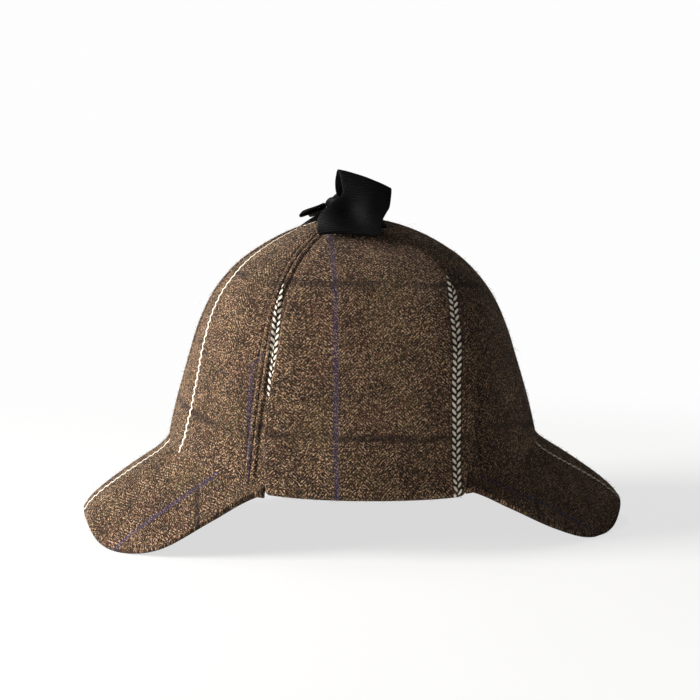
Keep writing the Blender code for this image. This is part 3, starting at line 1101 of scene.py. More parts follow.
@dataclass(frozen=True)
class PeakShape:
    """What differs between the two peaks.

    The plan is a superellipse of this squareness, and column is the peak's own in PEAK_EDGES. The
    last three say where the cloth was cut, how its threads slant and how far they are drawn in.
    """

    name: str
    column: int
    sweep: float
    reach: float
    squareness: float
    facing: float
    cut: tuple[float, float]
    skew: float
    ease: float


@dataclass
class Peak:
    """A stiff peak: cloth over a stiffener, with a rounded edge, flat where it rests."""

    shape: PeakShape
    form: CrownForm
    finishes: Finishes

    COLUMNS = 170
    ROWS = 38
    ROOT_SHARES = (0.0, 0.006, 0.013, 0.021)
    EDGE_SHARES = (0.955, 0.966, 0.976, 0.984, 0.991, 0.996, 1.0)
    FILLET = 3.2 * MM
    LAP = 0.8 * MM
    SINK = 0.9 * MM
    TUCK_REACH = 7.0 * MM
    EDGE_SEAM = 2.9 * MM
    STITCH_ROW = 12.5 * MM
    STITCH_PITCH = 2.5 * MM
    STITCH_MARGIN = 6.0 * MM

    def edge(self, across: np.ndarray) -> np.ndarray:
        """The outer edge, at the upper face.

        Args:
            across: From -1 at one corner to 1 at the other.

        Returns:
            Points of the edge.
        """
        form, sizes, shape = self.form, self.form.sizes, self.shape
        sweep = np.array(shape.sweep)
        corner = form.point(sweep, form.rim_climb(sweep), sizes.peak_corner)
        sideways = np.sin(across * math.pi / 2.0)
        power = shape.squareness
        forward = np.maximum(0.0, 1.0 - np.abs(sideways) ** power) ** (1.0 / power)
        rise = spline(PEAK_EDGES, np.abs(across))[..., shape.column]
        tip = sizes.crown_length / 2.0 + shape.reach
        x = corner[0] + (tip - corner[0]) * forward
        z = sizes.peak_edge_height + (corner[2] - sizes.peak_edge_height) * rise
        return np.stack([x, corner[1] * sideways, z], axis=-1)

    def grain(self, face: np.ndarray) -> np.ndarray:
        """Lays the peak out on the flat cloth, whose threads run along the hat.

        Args:
            face: Points of the upper face by column and row.

        Returns:
            Where each point lies across and along the cloth, in metres.
        """
        sizes, shape = self.form.sizes, self.shape
        forward = face[..., 0] - sizes.crown_length / 2.0
        crest = face[face.shape[0] // 2]
        start, end = crest[0], crest[-1]
        slope = (end[2] - start[2]) / (end[0] - start[0])
        fall = start[2] + slope * (face[..., 0] - start[0]) - face[..., 2]
        stretch = 1.0 + 0.14 * np.clip(forward / (51.0 * MM) + 0.42, 0.0, 1.1)
        across = -np.sign(face[..., 1]) * np.hypot(face[..., 1], fall) * stretch * shape.ease
        along = forward * math.hypot(1.0, slope)
        across = across + shape.skew * forward + shape.cut[0]
        return np.stack([across, along + shape.cut[1]], axis=-1)

    def build(self) -> tuple[Laid, np.ndarray]:
        """Makes the piece.

        Returns:
            Its upper face, and the whip stitches over its edge as points by stitch.
        """
        form, sizes, shape = self.form, self.form.sizes, self.shape
        across = np.linspace(-1.0, 1.0, self.COLUMNS + 1)[:, None]
        outward = np.linspace(0.0, 1.0, self.ROWS + 1)
        outward = outward[(outward > 0.024) & (outward < 0.95)]
        along = np.concatenate([self.ROOT_SHARES, outward, self.EDGE_SHARES])
        across, along = np.broadcast_arrays(across, along[None, :])
        angle = shape.sweep * across
        lap = sizes.peak_lap + self.LAP
        lap = lap + self.FILLET * np.exp(-along * 17.0) * (1.0 - across**4)
        root = form.point(angle, form.rim_climb(angle) + lap, -self.SINK)
        swell = sizes.peak_dome * np.sin(math.pi * along)
        swell = swell + sizes.peak_droop * along * (1.0 - along**12)
        top = root + (self.edge(across) - root) * along[..., None]
        top[..., 2] += swell * (1.0 - across**2)
        normals = sheet_normals(top)
        normals *= np.where(normals[..., 2:] > 0.0, 1.0, -1.0)
        run = run_lengths(top, 1)
        from_edge = run[:, -1:] - run
        thick = sizes.peak_thickness
        tuck = form.point(angle, form.rim_climb(angle) - sizes.peak_tuck, sizes.clearance)
        below = top - normals * thick
        share = np.clip(run / self.TUCK_REACH, 0.0, 1.0)[..., None]
        back = tuck + (below - tuck) * share

        radius = thick / 2.0
        drop = edge_drop(from_edge, radius * 0.98)
        seam = 0.25 * MM * np.exp(-(((from_edge - self.EDGE_SEAM) / (0.8 * MM)) ** 2))
        row = np.exp(-(((from_edge - self.STITCH_ROW) / (0.7 * MM)) ** 2))
        row = 0.30 * MM * row * eased(0.75, 0.35, across) * eased(-0.75, -0.45, across)
        soft = 0.40 * MM * (lumps(top, 0.030, 5.0) - 0.4) * eased(0.0, 6.0 * MM, run)
        face = top - normals * (drop + seam + row)[..., None]
        face[..., 2] += np.minimum(soft, 0.10 * MM)
        back = back + normals * np.where(share < 1.0, 0.0, drop[..., None])
        face[..., 2] = np.maximum(face[..., 2], 0.0)
        back[..., 2] = np.maximum(back[..., 2], 0.0)

        mesh = closed_wall(face, back, self.grain(face))
        mirror = np.array((shape.facing, 1.0, 1.0))
        if shape.facing < 0.0:
            bmesh.ops.scale(mesh, vec=mirror, verts=mesh.verts)
        look = self.finishes.tweed
        piece = finish_piece("tweed_" + shape.name, mesh, look, [shape.name])
        stitches = self.whip_stitches(top, normals) * mirror
        return Laid(face * mirror, normals * mirror), stitches

    def whip_stitches(self, top: np.ndarray, normals: np.ndarray) -> np.ndarray:
        """Lays out threads that wrap over the edge.

        Args:
            top: Points of the upper face by column and row.
            normals: Their normals.

        Returns:
            Points along each thread, by stitch and step.
        """
        edge, normal = top[:, -1], normals[:, -1]
        inward = unit(top[:, -len(self.EDGE_SHARES) - 1] - edge)
        run = run_lengths(edge, 0)
        places = np.arange(self.STITCH_MARGIN, run[-1] - self.STITCH_MARGIN, self.STITCH_PITCH)
        pick = [
            np.stack([np.interp(places, run, line[:, axis]) for axis in range(3)], axis=-1)
            for line in (edge, normal, inward)
        ]
        radius = self.form.sizes.peak_thickness / 2.0
        turn = np.linspace(0.12 * math.pi, 0.80 * math.pi, 7)[None, :, None]
        middle = pick[0] - pick[1] * radius + pick[2] * radius
        reach = radius + 0.02 * MM
        arc = pick[1][:, None] * np.cos(turn) - pick[2][:, None] * np.sin(turn)
        lines = middle[:, None] + arc * reach
        lines[..., 2] = np.maximum(lines[..., 2], 0.25 * MM)
        return lines


@dataclass
class EarFlap:
    """An ear flap: sewn in under the rim, folded up over the side and drawn to the tip."""

    side: Side
    cut: tuple[float, float]
    form: CrownForm
    finishes: Finishes

    COLUMNS = 76
    ROWS = 190
    ALONG = 0.215
    REAR_CORNER = 2.9 * MM
    DRAG = 0.55 * MM
    DRAG_PITCH = 2.9 * MM
    EDGE_RIDGE = 0.22 * MM
    VIOLET_AT = -17.5 * MM
    BOLD_GAP = 62.3 * MM
    # (distance up from the fold, how far the cloth is eased at the violet and bold stripes)
    EASING = (
        (-0.0400, 0.0, -0.0060),
        (-0.0065, 0.0, -0.0042),
        (-0.0014, 0.0, -0.0024),
        (0.0310, 0.0, 0.0017),
        (0.0480, 0.0, 0.0038),
        (0.0640, 0.0, 0.0050),
        (0.0850, 0.0, 0.0055),
        (0.1060, -0.0009, 0.0057),
        (0.1240, -0.0011, 0.0058),
        (0.1390, -0.0021, 0.0060),
        (0.1600, -0.0021, 0.0060),
    )
    FINE = tuple(MM * step for step in (0.0, 0.12, 0.4, 0.8, 1.3, 2.2, 3.4))

    @property
    def name(self) -> str:
        """The solid model's node."""
        return "ear_flap_" + self.side.name.lower()

    def stand(self, across: np.ndarray, lift: np.ndarray, dent: np.ndarray) -> np.ndarray:
        """How far the flap stands off the crown: most along its rear edge.

        Args:
            across: From -1 at the front edge to 1 at the rear edge.
            lift: The share of the lift here.
            dent: The share of the dent here.

        Returns:
            Metres between the crown's face and the flap.
        """
        sizes = self.form.sizes
        rear = eased(-0.35, 1.0, across) ** 1.5
        front = eased(0.5, 1.0, -across)
        hollow = np.exp(-(((across + 0.55) / 0.22) ** 2))
        stand = (sizes.flap_lift * rear + sizes.flap_front_lift * front) * lift
        return np.maximum(stand + sizes.flap_dent * dent * (0.6 - 0.6 * hollow), 0.0)

    def middle(self, share: np.ndarray, along: np.ndarray) -> tuple[np.ndarray, np.ndarray]:
        """The middle of the cloth.

        Args:
            share: Across the flap from its front edge to its rear edge.
            along: From inside the rim to the tip.

        Returns:
            The points, and how far each lies across the cloth from its middle line.
        """
        form, sizes = self.form, self.form.sizes
        across = share * 2.0 - 1.0
        bend_start, bend_end = sizes.flap_bend_start, sizes.flap_bend_end
        way = np.maximum(0.0, (along - bend_end) / (1.0 - bend_end))
        width, lean, lift, dent = np.moveaxis(spline(FLAP_OUTLINE, way), -1, 0)
        x = sizes.flap_lean * lean + sizes.flap_width / 2.0 * width * across
        outside = sizes.clearance + sizes.flap_thickness / 2.0
        outside = outside + self.stand(across, np.maximum(lift, 0.0), dent)
        fold = form.rim_climb(math.pi / 2.0)

        inside = -(sizes.cloth + sizes.clearance + sizes.flap_thickness / 2.0)
        angle = np.arccos(np.clip(x / form.outline(fold)[1], -1.0, 1.0))
        turn_in = sizes.flap_turn_in * np.maximum(0.0, 1.0 - along / bend_start)
        bend = np.maximum(0.0, along - bend_start)
        swing = math.pi * np.minimum(1.0, bend / (bend_end - bend_start))
        drop = sizes.flap_fold_drop + sizes.flap_fold_slope * (across + 1.0)
        to_rear = (1.0 - across) * sizes.flap_width / 2.0
        drop = drop - edge_drop(to_rear, self.REAR_CORNER)
        climb = form.rim_climb(angle) + turn_in - drop * np.sin(swing)
        side = self.side.value
        start = form.point(-angle * side, climb, inside, sizes.seam_pinch)
        end = form.point(-angle * side, climb, outside)
        under = start + (end - start) * (0.5 - 0.5 * np.cos(swing))[..., None]

        climb = fold + (form.climb_at(sizes.flap_tip_reach) - fold) * way
        angle = np.arccos(np.clip(x / form.outline(climb)[1], -1.0, 1.0))
        climb = climb + (form.rim_climb(angle) - fold) * (1.0 - eased(0.0, 1.0 / 3.0, way))
        over = form.point(-angle * side, climb, outside)
        grain = x - sizes.flap_lean * lean * (0.5 + 0.5 * across)
        return np.where((along < bend_end)[..., None], under, over), grain

    def cloth(self, grain: np.ndarray, up: np.ndarray) -> np.ndarray:
        """Lays the flap out on the flat cloth, eased as its stripes show.

        Args:
            grain: How far each point lies across the cloth from its middle line.
            up: How far it is up from the fold.

        Returns:
            Where each point lies across and along the cloth, in metres.
        """
        heights, at_violet, at_bold = zip(*self.EASING)
        toward_bold = np.clip((grain - self.VIOLET_AT) / self.BOLD_GAP, 0.0, 1.2)
        grain = grain + np.interp(up, heights, at_violet) * (1.0 - toward_bold)
        grain = grain + np.interp(up, heights, at_bold) * toward_bold
        return np.stack([grain + self.cut[0], up + self.cut[1]], axis=-1)

    def build(self) -> Laid:
        """Makes the piece.

        Returns:
            Its outer face.
        """
        sizes = self.form.sizes
        share = fine_ends(self.COLUMNS, sizes.flap_width, self.FINE)[:, None]
        along = fine_ends(self.ROWS, self.ALONG, self.FINE)[None, :]
        share, along = np.broadcast_arrays(share, along)
        points, grain = self.middle(share, along)
        run = run_lengths(points, 1)
        width = run_lengths(points, 0)
        from_side = np.minimum(width, width[-1:] - width)
        from_end = np.minimum(run, run[:, -1:] - run)
        fold = np.argmin(np.abs(along[0] - (sizes.flap_bend_start + sizes.flap_bend_end) / 2.0))
        up = run - run[:, fold : fold + 1]
        way = (along - sizes.flap_bend_end) / (1.0 - sizes.flap_bend_end)

        normals = sheet_normals(points) * self.side.value
        outer = eased(0.0, 0.10, way) * (1.0 - eased(0.80, 1.0, way))
        soft = 0.9 * MM * (lumps(points, 0.042, 21.0) + 0.25)
        soft = soft + 0.22 * MM * lumps(points, 0.011, 2.0)
        drag = np.sin((grain * 0.55 + run * 0.85) / self.DRAG_PITCH)
        corner = np.exp(-(((grain + 0.036) / 0.014) ** 2) - ((up - 0.024) / 0.016) ** 2)
        soft = (np.maximum(soft, 0.0) + self.DRAG * (drag + 1.0) * corner) * outer
        points = points + normals * soft[..., None]

        half = sizes.flap_thickness / 2.0
        inward = np.minimum(from_side, from_end)
        drop = edge_drop(inward, half * 0.97)
        ridge = self.EDGE_RIDGE * np.exp(-(((inward - 2.4 * MM) / (1.3 * MM)) ** 2)) * outer
        face = points + normals * (half - drop + ridge)[..., None]
        back = points - normals * (half - drop)[..., None]
        mesh = closed_wall(face, back, self.cloth(grain, up))
        piece = finish_piece(
            "tweed_" + self.name, mesh, self.finishes.tweed, [self.name]
        )
        return Laid(face, normals)


@dataclass(frozen=True)
class Bend:
    """How a ribbon leaves the knot. Metres and radians, and slant is rise for each metre across."""

    heading: float
    reach: float
    rise: float
    lean: float
    slant: float
    fold: float = 0.0


@dataclass
class RibbonPiece:
    """A length of ribbon, from points of its middle."""

    name: str
    place: Callable[[np.ndarray, np.ndarray], np.ndarray]
    held: str
    finishes: Finishes
    form: CrownForm
    columns: int = 22
    rows: int = 110

    FINE = tuple(MM * step for step in (0.0, 0.08, 0.25, 0.5))

    def build(self) -> None:
        """Makes the piece."""
        sizes = self.form.sizes
        share = fine_ends(self.columns, sizes.ribbon_width, self.FINE)[:, None]
        along = np.linspace(0.0, 1.0, self.rows + 1)[None, :]
        share, along = np.broadcast_arrays(share, along)
        points = self.place(share, along)
        run = run_lengths(points, 1)
        width = run_lengths(points, 0)
        inward = np.minimum(width, width[-1:] - width)
        normals = sheet_normals(points)
        half = sizes.ribbon_thickness / 2.0 - edge_drop(inward, sizes.ribbon_thickness * 0.45)
        face = points + normals * half[..., None]
        back = points - normals * half[..., None]
        cloth = np.stack([(share - 0.5) * sizes.ribbon_width, run], axis=-1)
        mesh = closed_wall(face, back, cloth)
        piece = finish_piece(
            "grosgrain_" + self.name, mesh, self.finishes.ribbon, [self.name]
        )


@dataclass
class Bow:
    """The ribbon: two straps sewn on the flaps, the knot, two loops and two tails."""

    form: CrownForm
    finishes: Finishes

    STANDING = Bend(math.radians(-101.0), 0.0430, 0.0218, 0.0090, -0.36, 1.9 * MM)
    LOW = Bend(math.radians(165.0), 0.0250, 0.0050, 0.0, 0.0)
    FRONT_TAIL = Bend(math.radians(112.0), 0.0440, 0.0015, 0.0, 0.0)
    BACK_TAIL = Bend(math.radians(71.0), 0.0420, 0.0015, 0.0, 0.0)
    GATHER = 0.35 * MM
    GATHER_SHARE = 0.10
    CLOTH_ACROSS = 28.0 * MM
    CLOTH_ROUND = 10.0 * MM

    def strap(self, side: Side) -> Callable[[np.ndarray, np.ndarray], np.ndarray]:
        """The middle of a strap, from the tip of the crown down onto a flap.

        Args:
            side: Which flap it is sewn on.

        Returns:
            Points from (share across, share along).
        """
        sizes = self.form.sizes

        def place(share: np.ndarray, along: np.ndarray) -> np.ndarray:
            """Points of the strap's middle."""
            x = sizes.ribbon_width * (share - 0.5) * (0.62 + 0.33 * along)
            y = sizes.clearance + (sizes.strap_length - sizes.clearance) * along
            return self.form.above(x, -y * side.value, sizes.strap_level)

        return place

    def knot_edge(self, heading: float) -> float:
        """Measures the knot.

        Args:
            heading: Round the knot from +X.

        Returns:
            How far its side is from its middle.
        """
        sizes = self.form.sizes
        across = math.cos(heading) / (sizes.knot_length / 2.0)
        along = math.sin(heading) / (sizes.knot_depth / 2.0)
        return 1.0 / math.hypot(across, along)

    def band(
        self, path: Sequence[Sequence[float]], bend: Bend
    ) -> Callable[[np.ndarray, np.ndarray], np.ndarray]:
        """The middle of a ribbon that follows a side view out from the knot.

        Args:
            path: The side view's table.
            bend: How the ribbon leaves the knot.

        Returns:
            Points from (share across, share along).
        """
        sizes = self.form.sizes
        out = np.array((math.cos(bend.heading), math.sin(bend.heading), 0.0))
        sideways = np.array((-out[1], out[0], 0.0))
        start = self.knot_edge(bend.heading) + sizes.clearance

        def place(share: np.ndarray, along: np.ndarray) -> np.ndarray:
            """Points of the ribbon's middle, gathered at the knot and creased at its folds."""
            reach, rise, width, slant, shift = np.moveaxis(spline(path, along), -1, 0)
            across = sizes.ribbon_width * ((share - 0.5) * width + shift / 2.0)
            flat = out * (start + (bend.reach - start) * reach)[..., None]
            flat = flat + sideways * across[..., None]
            lift = bend.rise * rise + bend.slant * across * slant
            gather = self.GATHER * np.exp(-np.minimum(along, 1.0 - along) / self.GATHER_SHARE)
            lift = lift + gather * (1.0 + np.sin(share * 19.0 + bend.heading))
            folds = bend.fold * np.exp(-(((along - 0.43) / 0.11) ** 2))
            folds = folds * np.sin(share * 8.0 + along * 16.0) * eased(1.05, 0.35, share)
            level = sizes.knot_level + sizes.ribbon_thickness * 0.6
            seat = self.form.above(flat[..., 0], flat[..., 1], level)
            seat = seat + sideways * (bend.lean * rise)[..., None] + out * folds[..., None]
            seat[..., 2] += lift
            return seat

        return place

    def knot(self) -> None:
        """Makes the knot: ribbon drawn tight round itself."""
        sizes = self.form.sizes
        mesh = new_mesh()
        layer = mesh.verts.layers.float_vector["cloth"]
        bmesh.ops.create_uvsphere(mesh, u_segments=96, v_segments=64, radius=0.5)
        spots = np.array([vert.co[:] for vert in mesh.verts])
        x, y, z = spots.T
        turn = np.arctan2(z, y)
        wrap = 0.5 + 0.5 * np.sin(17.0 * x + 1.6 * np.sin(turn * 2.0) + 0.8)
        fold = 0.5 + 0.5 * np.sin(9.0 * y - 4.0 * x + 2.0)
        swell = 1.0 + 0.02 * np.sin(9.0 * x + 2.0) * np.cos(7.0 * y) - 0.05 * wrap**3
        lift = np.maximum((z + 0.30) / 0.80, 0.04 * (z + 0.5))
        lift = 0.66 * sizes.knot_height * lift * (1.0 - 0.16 * wrap**2 - 0.10 * fold)
        places = self.form.above(
            x * sizes.knot_length * swell, y * sizes.knot_depth * swell, sizes.knot_level
        )
        places[:, 2] += lift
        for vert, place, across, angle in zip(mesh.verts, places, x, turn):
            vert.co = place
            vert[layer] = (across * self.CLOTH_ACROSS, angle * self.CLOTH_ROUND, 0.0)
        finish_piece(
            "grosgrain_ribbon_knot", mesh, self.finishes.ribbon, ["ribbon_knot"]
        )

    def build(self) -> None:
        """Makes every piece of the ribbon."""
        for side in Side:
            name = "ribbon_strap_" + side.name.lower()
            place = self.strap(side)
            RibbonPiece(name, place, "stretched", self.finishes, self.form, rows=60).build()
        self.knot()
        bands = (
            ("ribbon_loop_standing", STANDING_LOOP_PATH, self.STANDING, "folded"),
            ("ribbon_loop_low", LOW_LOOP_PATH, self.LOW, "folded"),
            ("ribbon_tail_front", TAIL_PATH, self.FRONT_TAIL, "laid"),
            ("ribbon_tail_back", TAIL_PATH, self.BACK_TAIL, "laid"),
        )
        for name, path, bend, held in bands:
            place = self.band(path, bend)
            RibbonPiece(name, place, held, self.finishes, self.form).build()


def tube_mesh(lines: np.ndarray, radii: np.ndarray, sides: int) -> bmesh.types.BMesh:
    """A mesh of many thin tubes.

    Args:
        lines: Points along each tube's middle, by tube and step.
        radii: The radius at each step.
        sides: How many sides a tube has.

    Returns:
        The mesh, made from one grid whose faces between tubes are taken out.
    """
    count, steps, _ = lines.shape
    along = unit(np.gradient(lines, axis=1))
    level = np.abs(along[..., 2:]) < 0.9
    helper = np.where(level, np.array((0.0, 0.0, 1.0)), np.array((1.0, 0.0, 0.0)))
    first = unit(np.cross(along, helper))
    second = np.cross(along, first)
    turn = np.linspace(0.0, math.tau, sides + 1)[:, None, None, None]
    ring = np.cos(turn) * first + np.sin(turn) * second
    places = lines + ring * radii[:, None]
    places = places.reshape(sides + 1, count * steps, 3)
    mesh = new_mesh()
    row_of = add_grid(mesh, places, np.zeros(places.shape[:2] + (2,)))
    between = [
        face for face in mesh.faces if len({row_of[vert] // steps for vert in face.verts}) > 1
    ]
    bmesh.ops.delete(mesh, geom=between, context="FACES")
    return mesh


@dataclass
class TopStitching:
    """Short stitches of thread along the seams."""

    finishes: Finishes
    pitch: float = 3.1 * MM
    length: float = 2.3 * MM
    thickness: float = 0.42 * MM

    SHAPE = ((-0.50, 0.05), (-0.44, 0.60), (-0.25, 0.95), (0.25, 0.95), (0.44, 0.60), (0.50, 0.05))

    def build(self, name: str, lines: Sequence[np.ndarray]) -> None:
        """Makes the stitches of some lines as one piece.

        Args:
            name: The piece's name.
            lines: Points along each line.
        """
        steps = np.array([step for step, _ in self.SHAPE]) * self.length
        radii = np.array([share for _, share in self.SHAPE]) * self.thickness / 2.0
        stitches = []
        for line in lines:
            run = run_lengths(line, 0)
            for middle in np.arange(self.pitch, run[-1] - self.pitch, self.pitch):
                places = middle + steps
                stitches.append([np.interp(places, run, line[:, axis]) for axis in range(3)])
        points = np.moveaxis(np.array(stitches), 1, 2)
        mesh = tube_mesh(points, radii, 6)
        finish_piece(name, mesh, self.finishes.seam_thread)


@dataclass
class WhipStitching:
    """Threads that wrap over the peaks' edges."""

    finishes: Finishes
    thickness: float = 0.38 * MM
    taper: float = 0.25

    def build(self, name: str, lines: np.ndarray) -> None:
        """Makes the threads as one piece.

        Args:
            name: The piece's name.
            lines: Points along each thread, by stitch and step.
        """
        swell = np.sin(np.linspace(self.taper, math.pi - self.taper, lines.shape[1]))
        mesh = tube_mesh(lines, self.thickness / 2.0 * swell, 5)
        finish_piece(name, mesh, self.finishes.seam_thread)


@dataclass
class WoolFuzz:
    """Short loose fibres that stand off the tweed."""

    laid: Sequence[Laid]
    seed: int = 7

    def build(
        self,
        name: str,
        count: int,
        length: tuple[float, float],
        thickness: float,
        look: bpy.types.Material,
    ) -> None:
        """Makes fibres as one piece.

        Args:
            name: The piece's name.
            count: How many fibres.
            length: Their least and greatest length.
            thickness: How thick one is at its root.
            look: Their material.
        """
        chance = np.random.default_rng(self.seed + count)
        roots, normals, areas = [], [], []
        for face in self.laid:
            areas.append(self.cell_areas(face.points).ravel())
            roots.append(face.points[:-1, :-1].reshape(-1, 3))
            normals.append(face.normals[:-1, :-1].reshape(-1, 3))
        share = np.concatenate(areas)
        picked = chance.choice(len(share), count, p=share / share.sum())
        root = np.concatenate(roots)[picked][:, None]
        normal = np.concatenate(normals)[picked][:, None]
        lie = unit(np.cross(normal, chance.normal(size=(count, 1, 3))))
        curl = np.cross(normal, lie) * chance.uniform(-0.6, 0.6, (count, 1, 1))
        long = chance.uniform(*length, (count, 1, 1))
        steps = np.linspace(0.0, 1.0, 4)[None, :, None]
        rise = chance.uniform(0.25, 0.55, (count, 1, 1))
        line = root + long * (lie * steps + curl * steps**2)
        line = line + normal * (long * rise * np.sin(steps * 2.2) - 0.1 * MM)
        radii = thickness / 2.0 * np.array((1.0, 0.9, 0.7, 0.25))
        finish_piece(name, tube_mesh(line, radii, 3), look)

    @staticmethod
    def cell_areas(points: np.ndarray) -> np.ndarray:
        """Measures the cells of a grid of points.

        Args:
            points: The grid's points.

        Returns:
            The area of each cell.
        """
        across = points[1:, :-1] - points[:-1, :-1]
        along = points[:-1, 1:] - points[:-1, :-1]
        return np.linalg.norm(np.cross(across, along), axis=-1)


@dataclass
class Studio:
    """The camera, the lights and the pale floor."""

    aim: Vector
    distance: float = 0.940
    azimuth: float = math.radians(-6.83)
    elevation: float = math.radians(6.59)
    roll: float = math.radians(0.35)
    lens: float = 84.8
    sensor: float = 36.0
    white: float = 0.985

    LIGHTS = (
        # (name, place, side, watts, colour)
        ("key", (-1.62, -0.20, 0.70), 0.9, 88.0, (1.0, 0.98, 0.95)),
        ("back_edge", (1.50, 0.75, 0.80), 0.8, 3.0, (1.0, 0.98, 0.96)),
        ("front_fill", (-0.2, -1.7, 0.9), 1.4, 1.3, (0.95, 0.97, 1.0)),
        ("top_sheen", (-0.35, 0.60, 1.60), 0.6, 5.0, (1.0, 1.0, 1.0)),
    )

    def camera(self) -> None:
        """Places the camera where the picture was taken from."""
        data = bpy.data.cameras.new("camera")
        data.lens = self.lens
        data.sensor_width = self.sensor
        camera = bpy.data.objects.new("camera", data)
        bpy.context.scene.collection.objects.link(camera)
        level = math.cos(self.elevation)
        east = math.sin(self.azimuth) * level
        north = -math.cos(self.azimuth) * level
        back = Vector((east, north, math.sin(self.elevation)))
        camera.location = self.aim + back * self.distance
        camera.rotation_mode = "QUATERNION"
        turn = Quaternion((0.0, 0.0, 1.0), -self.roll)
        camera.rotation_quaternion = back.to_track_quat("Z", "Y") @ turn
        bpy.context.scene.camera = camera

    def light(
        self, name: str, place: Vector, size: float, power: float, colour: Sequence[float]
    ) -> None:
        """Adds a soft square light that points at the hat.

        Args:
            name: Its name.
            place: Where it stands.
            size: The length of its side.
            power: Watts.
            colour: Red, green and blue.
        """
        data = bpy.data.lights.new(name, "AREA")
        data.size = size
        data.energy = power
        data.color = colour
        lamp = bpy.data.objects.new(name, data)
        bpy.context.scene.collection.objects.link(lamp)
        lamp.location = place
        lamp.rotation_mode = "QUATERNION"
        lamp.rotation_quaternion = (place - self.aim).to_track_quat("Z", "Y")

    def floor(self) -> None:
        """Adds a pale floor that fades into the white room."""
        mesh = bmesh.new()
        bmesh.ops.create_circle(mesh, cap_ends=True, radius=6.0, segments=64)
        data = bpy.data.meshes.new("floor")
        mesh.to_mesh(data)
        mesh.free()
        floor = bpy.data.objects.new("floor", data)
        bpy.context.scene.collection.objects.link(floor)
        sketch = Sketch("pale_floor")
        place = sketch.add("ShaderNodeTexCoord", {}, {}).outputs["Object"]
        away = sketch.add("ShaderNodeVectorMath", {"operation": "LENGTH"}, {0: place}).outputs[1]
        fade = sketch.step(away, 0.20, 0.60)
        clear = sketch.math("MULTIPLY_ADD", fade, 0.30, 0.70)
        seen = sketch.add("ShaderNodeLightPath", {}, {}).outputs["Is Camera Ray"]
        sketch.shader.inputs["Base Color"].default_value = (0.80, 0.80, 0.79, 1.0)
        sketch.shader.inputs["Roughness"].default_value = 0.9
        inputs = {"Color": (1.0, 1.0, 1.0, 1.0), "Strength": self.white}
        glow = sketch.add("ShaderNodeEmission", {}, inputs)
        share = sketch.math("MULTIPLY", clear, seen)
        both = sketch.add("ShaderNodeMixShader", {}, {0: share})
        sketch.feed(both.inputs[1], sketch.shader.outputs[0])
        sketch.feed(both.inputs[2], glow.outputs[0])
        output = sketch.tree.nodes["Material Output"]
        sketch.feed(output.inputs["Surface"], both.outputs[0])
        data.materials.append(sketch.material)

    def world(self) -> None:
        """Makes the room white to the camera and dim to the hat."""
        world = bpy.data.worlds.new("studio")
        bpy.context.scene.world = world
        world.use_nodes = True
        tree = world.node_tree
        shown = tree.nodes["Background"]
        shown.inputs["Color"].default_value = (1.0, 1.0, 1.0, 1.0)
        shown.inputs["Strength"].default_value = self.white
        dim = tree.nodes.new("ShaderNodeBackground")
        dim.inputs["Color"].default_value = (0.92, 0.96, 1.0, 1.0)
        dim.inputs["Strength"].default_value = 0.028
        seen = tree.nodes.new("ShaderNodeLightPath")
        both = tree.nodes.new("ShaderNodeMixShader")
        tree.links.new(seen.outputs["Is Camera Ray"], both.inputs[0])
        tree.links.new(dim.outputs[0], both.inputs[1])
        tree.links.new(shown.outputs[0], both.inputs[2])
        tree.links.new(both.outputs[0], tree.nodes["World Output"].inputs["Surface"])

    def build(self) -> None:
        """Sets up the whole studio."""
        self.camera()
        self.floor()
        self.world()
        for name, place, size, power, colour in self.LIGHTS:
            self.light(name, Vector(place), size, power, colour)
        bpy.context.scene.view_settings.view_transform = "Standard"


def crown_panels(form: CrownForm, finishes: Finishes) -> list[CrownPanel]:
    """The crown's six panels, and where each was cut from the cloth.

    Args:
        form: The crown's form.
        finishes: The materials.

    Returns:
        The panels, not yet built.
    """
    seam = form.sizes.side_seam
    turns = (0.0, seam, math.pi - seam)
    seams = [half + turn for half in (math.pi, math.tau) for turn in turns]
    seams.append(3.0 * math.pi)
    # Rows of (climb, the cloth's shift at the panel's middle, its shift near the side seam)
    lean = (
        (-0.010, -0.0135, -0.0020),
        (-0.001, -0.0112, -0.0030),
        (0.009, -0.0066, -0.0056),
        (0.025, -0.0050, -0.0097),
        (0.040, -0.0068, -0.0133),
        (0.052, -0.0086, -0.0160),
        (0.064, -0.0098, -0.0060),
        (0.084, -0.0110, -0.0070),
        (0.104, -0.0100, -0.0080),
        (0.121, -0.0096, -0.0080),
        (0.160, -0.0070, -0.0070),
    )
    side_lean = (
        (0.0, -0.0490, -0.0300),
        (0.040, -0.0545, -0.0300),
        (0.086, -0.0494, -0.0300),
        (0.130, -0.0440, -0.0300),
    )
    other_lean = tuple((climb, -middle, -middle) for climb, middle, _ in lean)
    still = ((0.0, 0.0, 0.0), (0.150, 0.0, 0.0))
    cloth = Tweed()
    low_band = cloth.weft_repeat / 2.0 * MM
    places = (
        ("front_left", (cloth.zigzag_at * MM, low_band - 24.0 * MM), 0.20, lean),
        ("side_left", (cloth.bold_at * MM, low_band - 20.0 * MM), 0.0, side_lean),
        ("back_left", (0.1665, low_band - 12.0 * MM), 0.10, still),
        ("back_right", (0.012, low_band - 12.0 * MM), -0.10, still),
        ("side_right", (cloth.bold_at * MM - 0.050, low_band - 20.0 * MM), 0.0, still),
        ("front_right", (cloth.violet_at * MM + 0.010, low_band - 24.0 * MM), -0.20, other_lean),
    )
    return [
        CrownPanel("crown_panel_" + name, start, end, cut, slant, drift, form, finishes)
        for (name, cut, slant, drift), start, end in zip(places, seams, seams[1:])
    ]


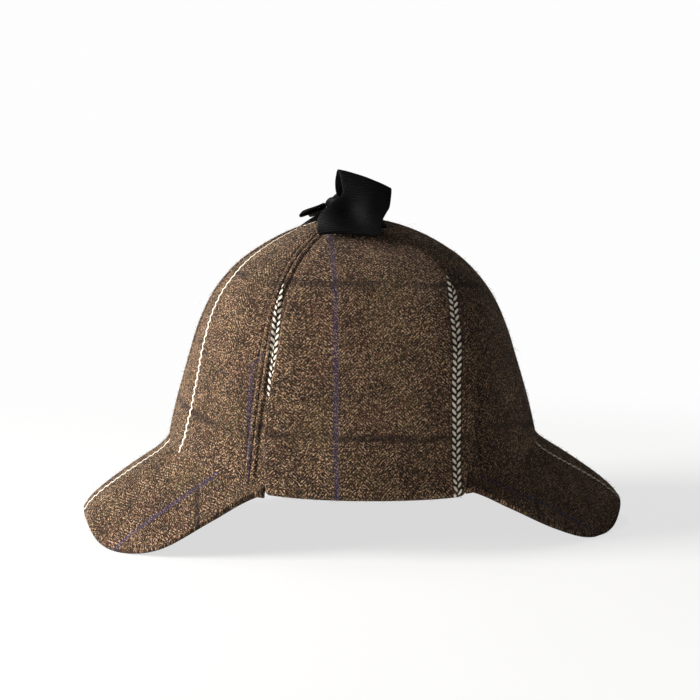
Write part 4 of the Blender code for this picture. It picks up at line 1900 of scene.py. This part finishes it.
def peaks(form: CrownForm, finishes: Finishes) -> list[Peak]:
    """The two peaks, and where each was cut from the cloth.

    Args:
        form: The crown's form.
        finishes: The materials.

    Returns:
        The peaks, not yet built.
    """
    root_band = (Tweed().weft_repeat / 2.0 + 20.2) * MM
    front = PeakShape(
        "front_peak", 0, math.radians(59.3), 0.0472, 2.3, -1.0, (-8.0 * MM, root_band), 0.0, 0.835
    )
    back = PeakShape(
        "back_peak", 1, math.radians(63.0), 0.0498, 2.0, 1.0, (-30.0 * MM, root_band), 0.27, 1.0
    )
    return [Peak(shape, form, finishes) for shape in (front, back)]


def ear_flaps(form: CrownForm, finishes: Finishes) -> list[EarFlap]:
    """The two ear flaps, cut so that the violet line runs up the front of each.

    Args:
        form: The crown's form.
        finishes: The materials.

    Returns:
        The flaps, not yet built.
    """
    cloth = Tweed()
    cut = (cloth.violet_at * MM - EarFlap.VIOLET_AT, (cloth.weft_repeat / 2.0 - 33.0) * MM)
    return [EarFlap(side, cut, form, finishes) for side in Side]


def build_hat() -> None:
    """Builds every piece of the hat in order, and the studio round it."""
    form = CrownForm(HatSizes())
    finishes = make_finishes()
    laid: list[Laid] = []
    seam_lines: list[np.ndarray] = []
    for panel in crown_panels(form, finishes):
        laid.append(panel.build())
        seam_lines.extend(panel.stitch_lines())
    edge_threads: list[np.ndarray] = []
    for peak in peaks(form, finishes):
        face, threads = peak.build()
        laid.append(face)
        edge_threads.append(threads)
    for flap in ear_flaps(form, finishes):
        laid.append(flap.build())
    Bow(form, finishes).build()
    TopStitching(finishes).build("crown_topstitching", seam_lines)
    WhipStitching(finishes).build("peak_edge_stitching", np.concatenate(edge_threads))
    fuzz = WoolFuzz(laid)
    fuzz.build("wool_fuzz", 9000, (1.0 * MM, 2.8 * MM), 0.09 * MM, finishes.fibre)
    fuzz.build("stray_wool_hairs", 90, (4.0 * MM, 9.0 * MM), 0.09 * MM, finishes.pale_fibre)
    fuzz.build("pale_wool_fuzz", 3200, (1.0 * MM, 3.4 * MM), 0.08 * MM, finishes.pale_fibre)
    Studio(Vector((-0.0012, 0.0, 0.1003))).build()


def main() -> None:
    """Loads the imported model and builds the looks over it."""
    logging.basicConfig(level=logging.INFO, format="%(name)s: %(message)s")
    for obj in list(bpy.data.objects):
        bpy.data.objects.remove(obj, do_unlink=True)
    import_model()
    build_hat()


if __name__ == "__main__":
    main()
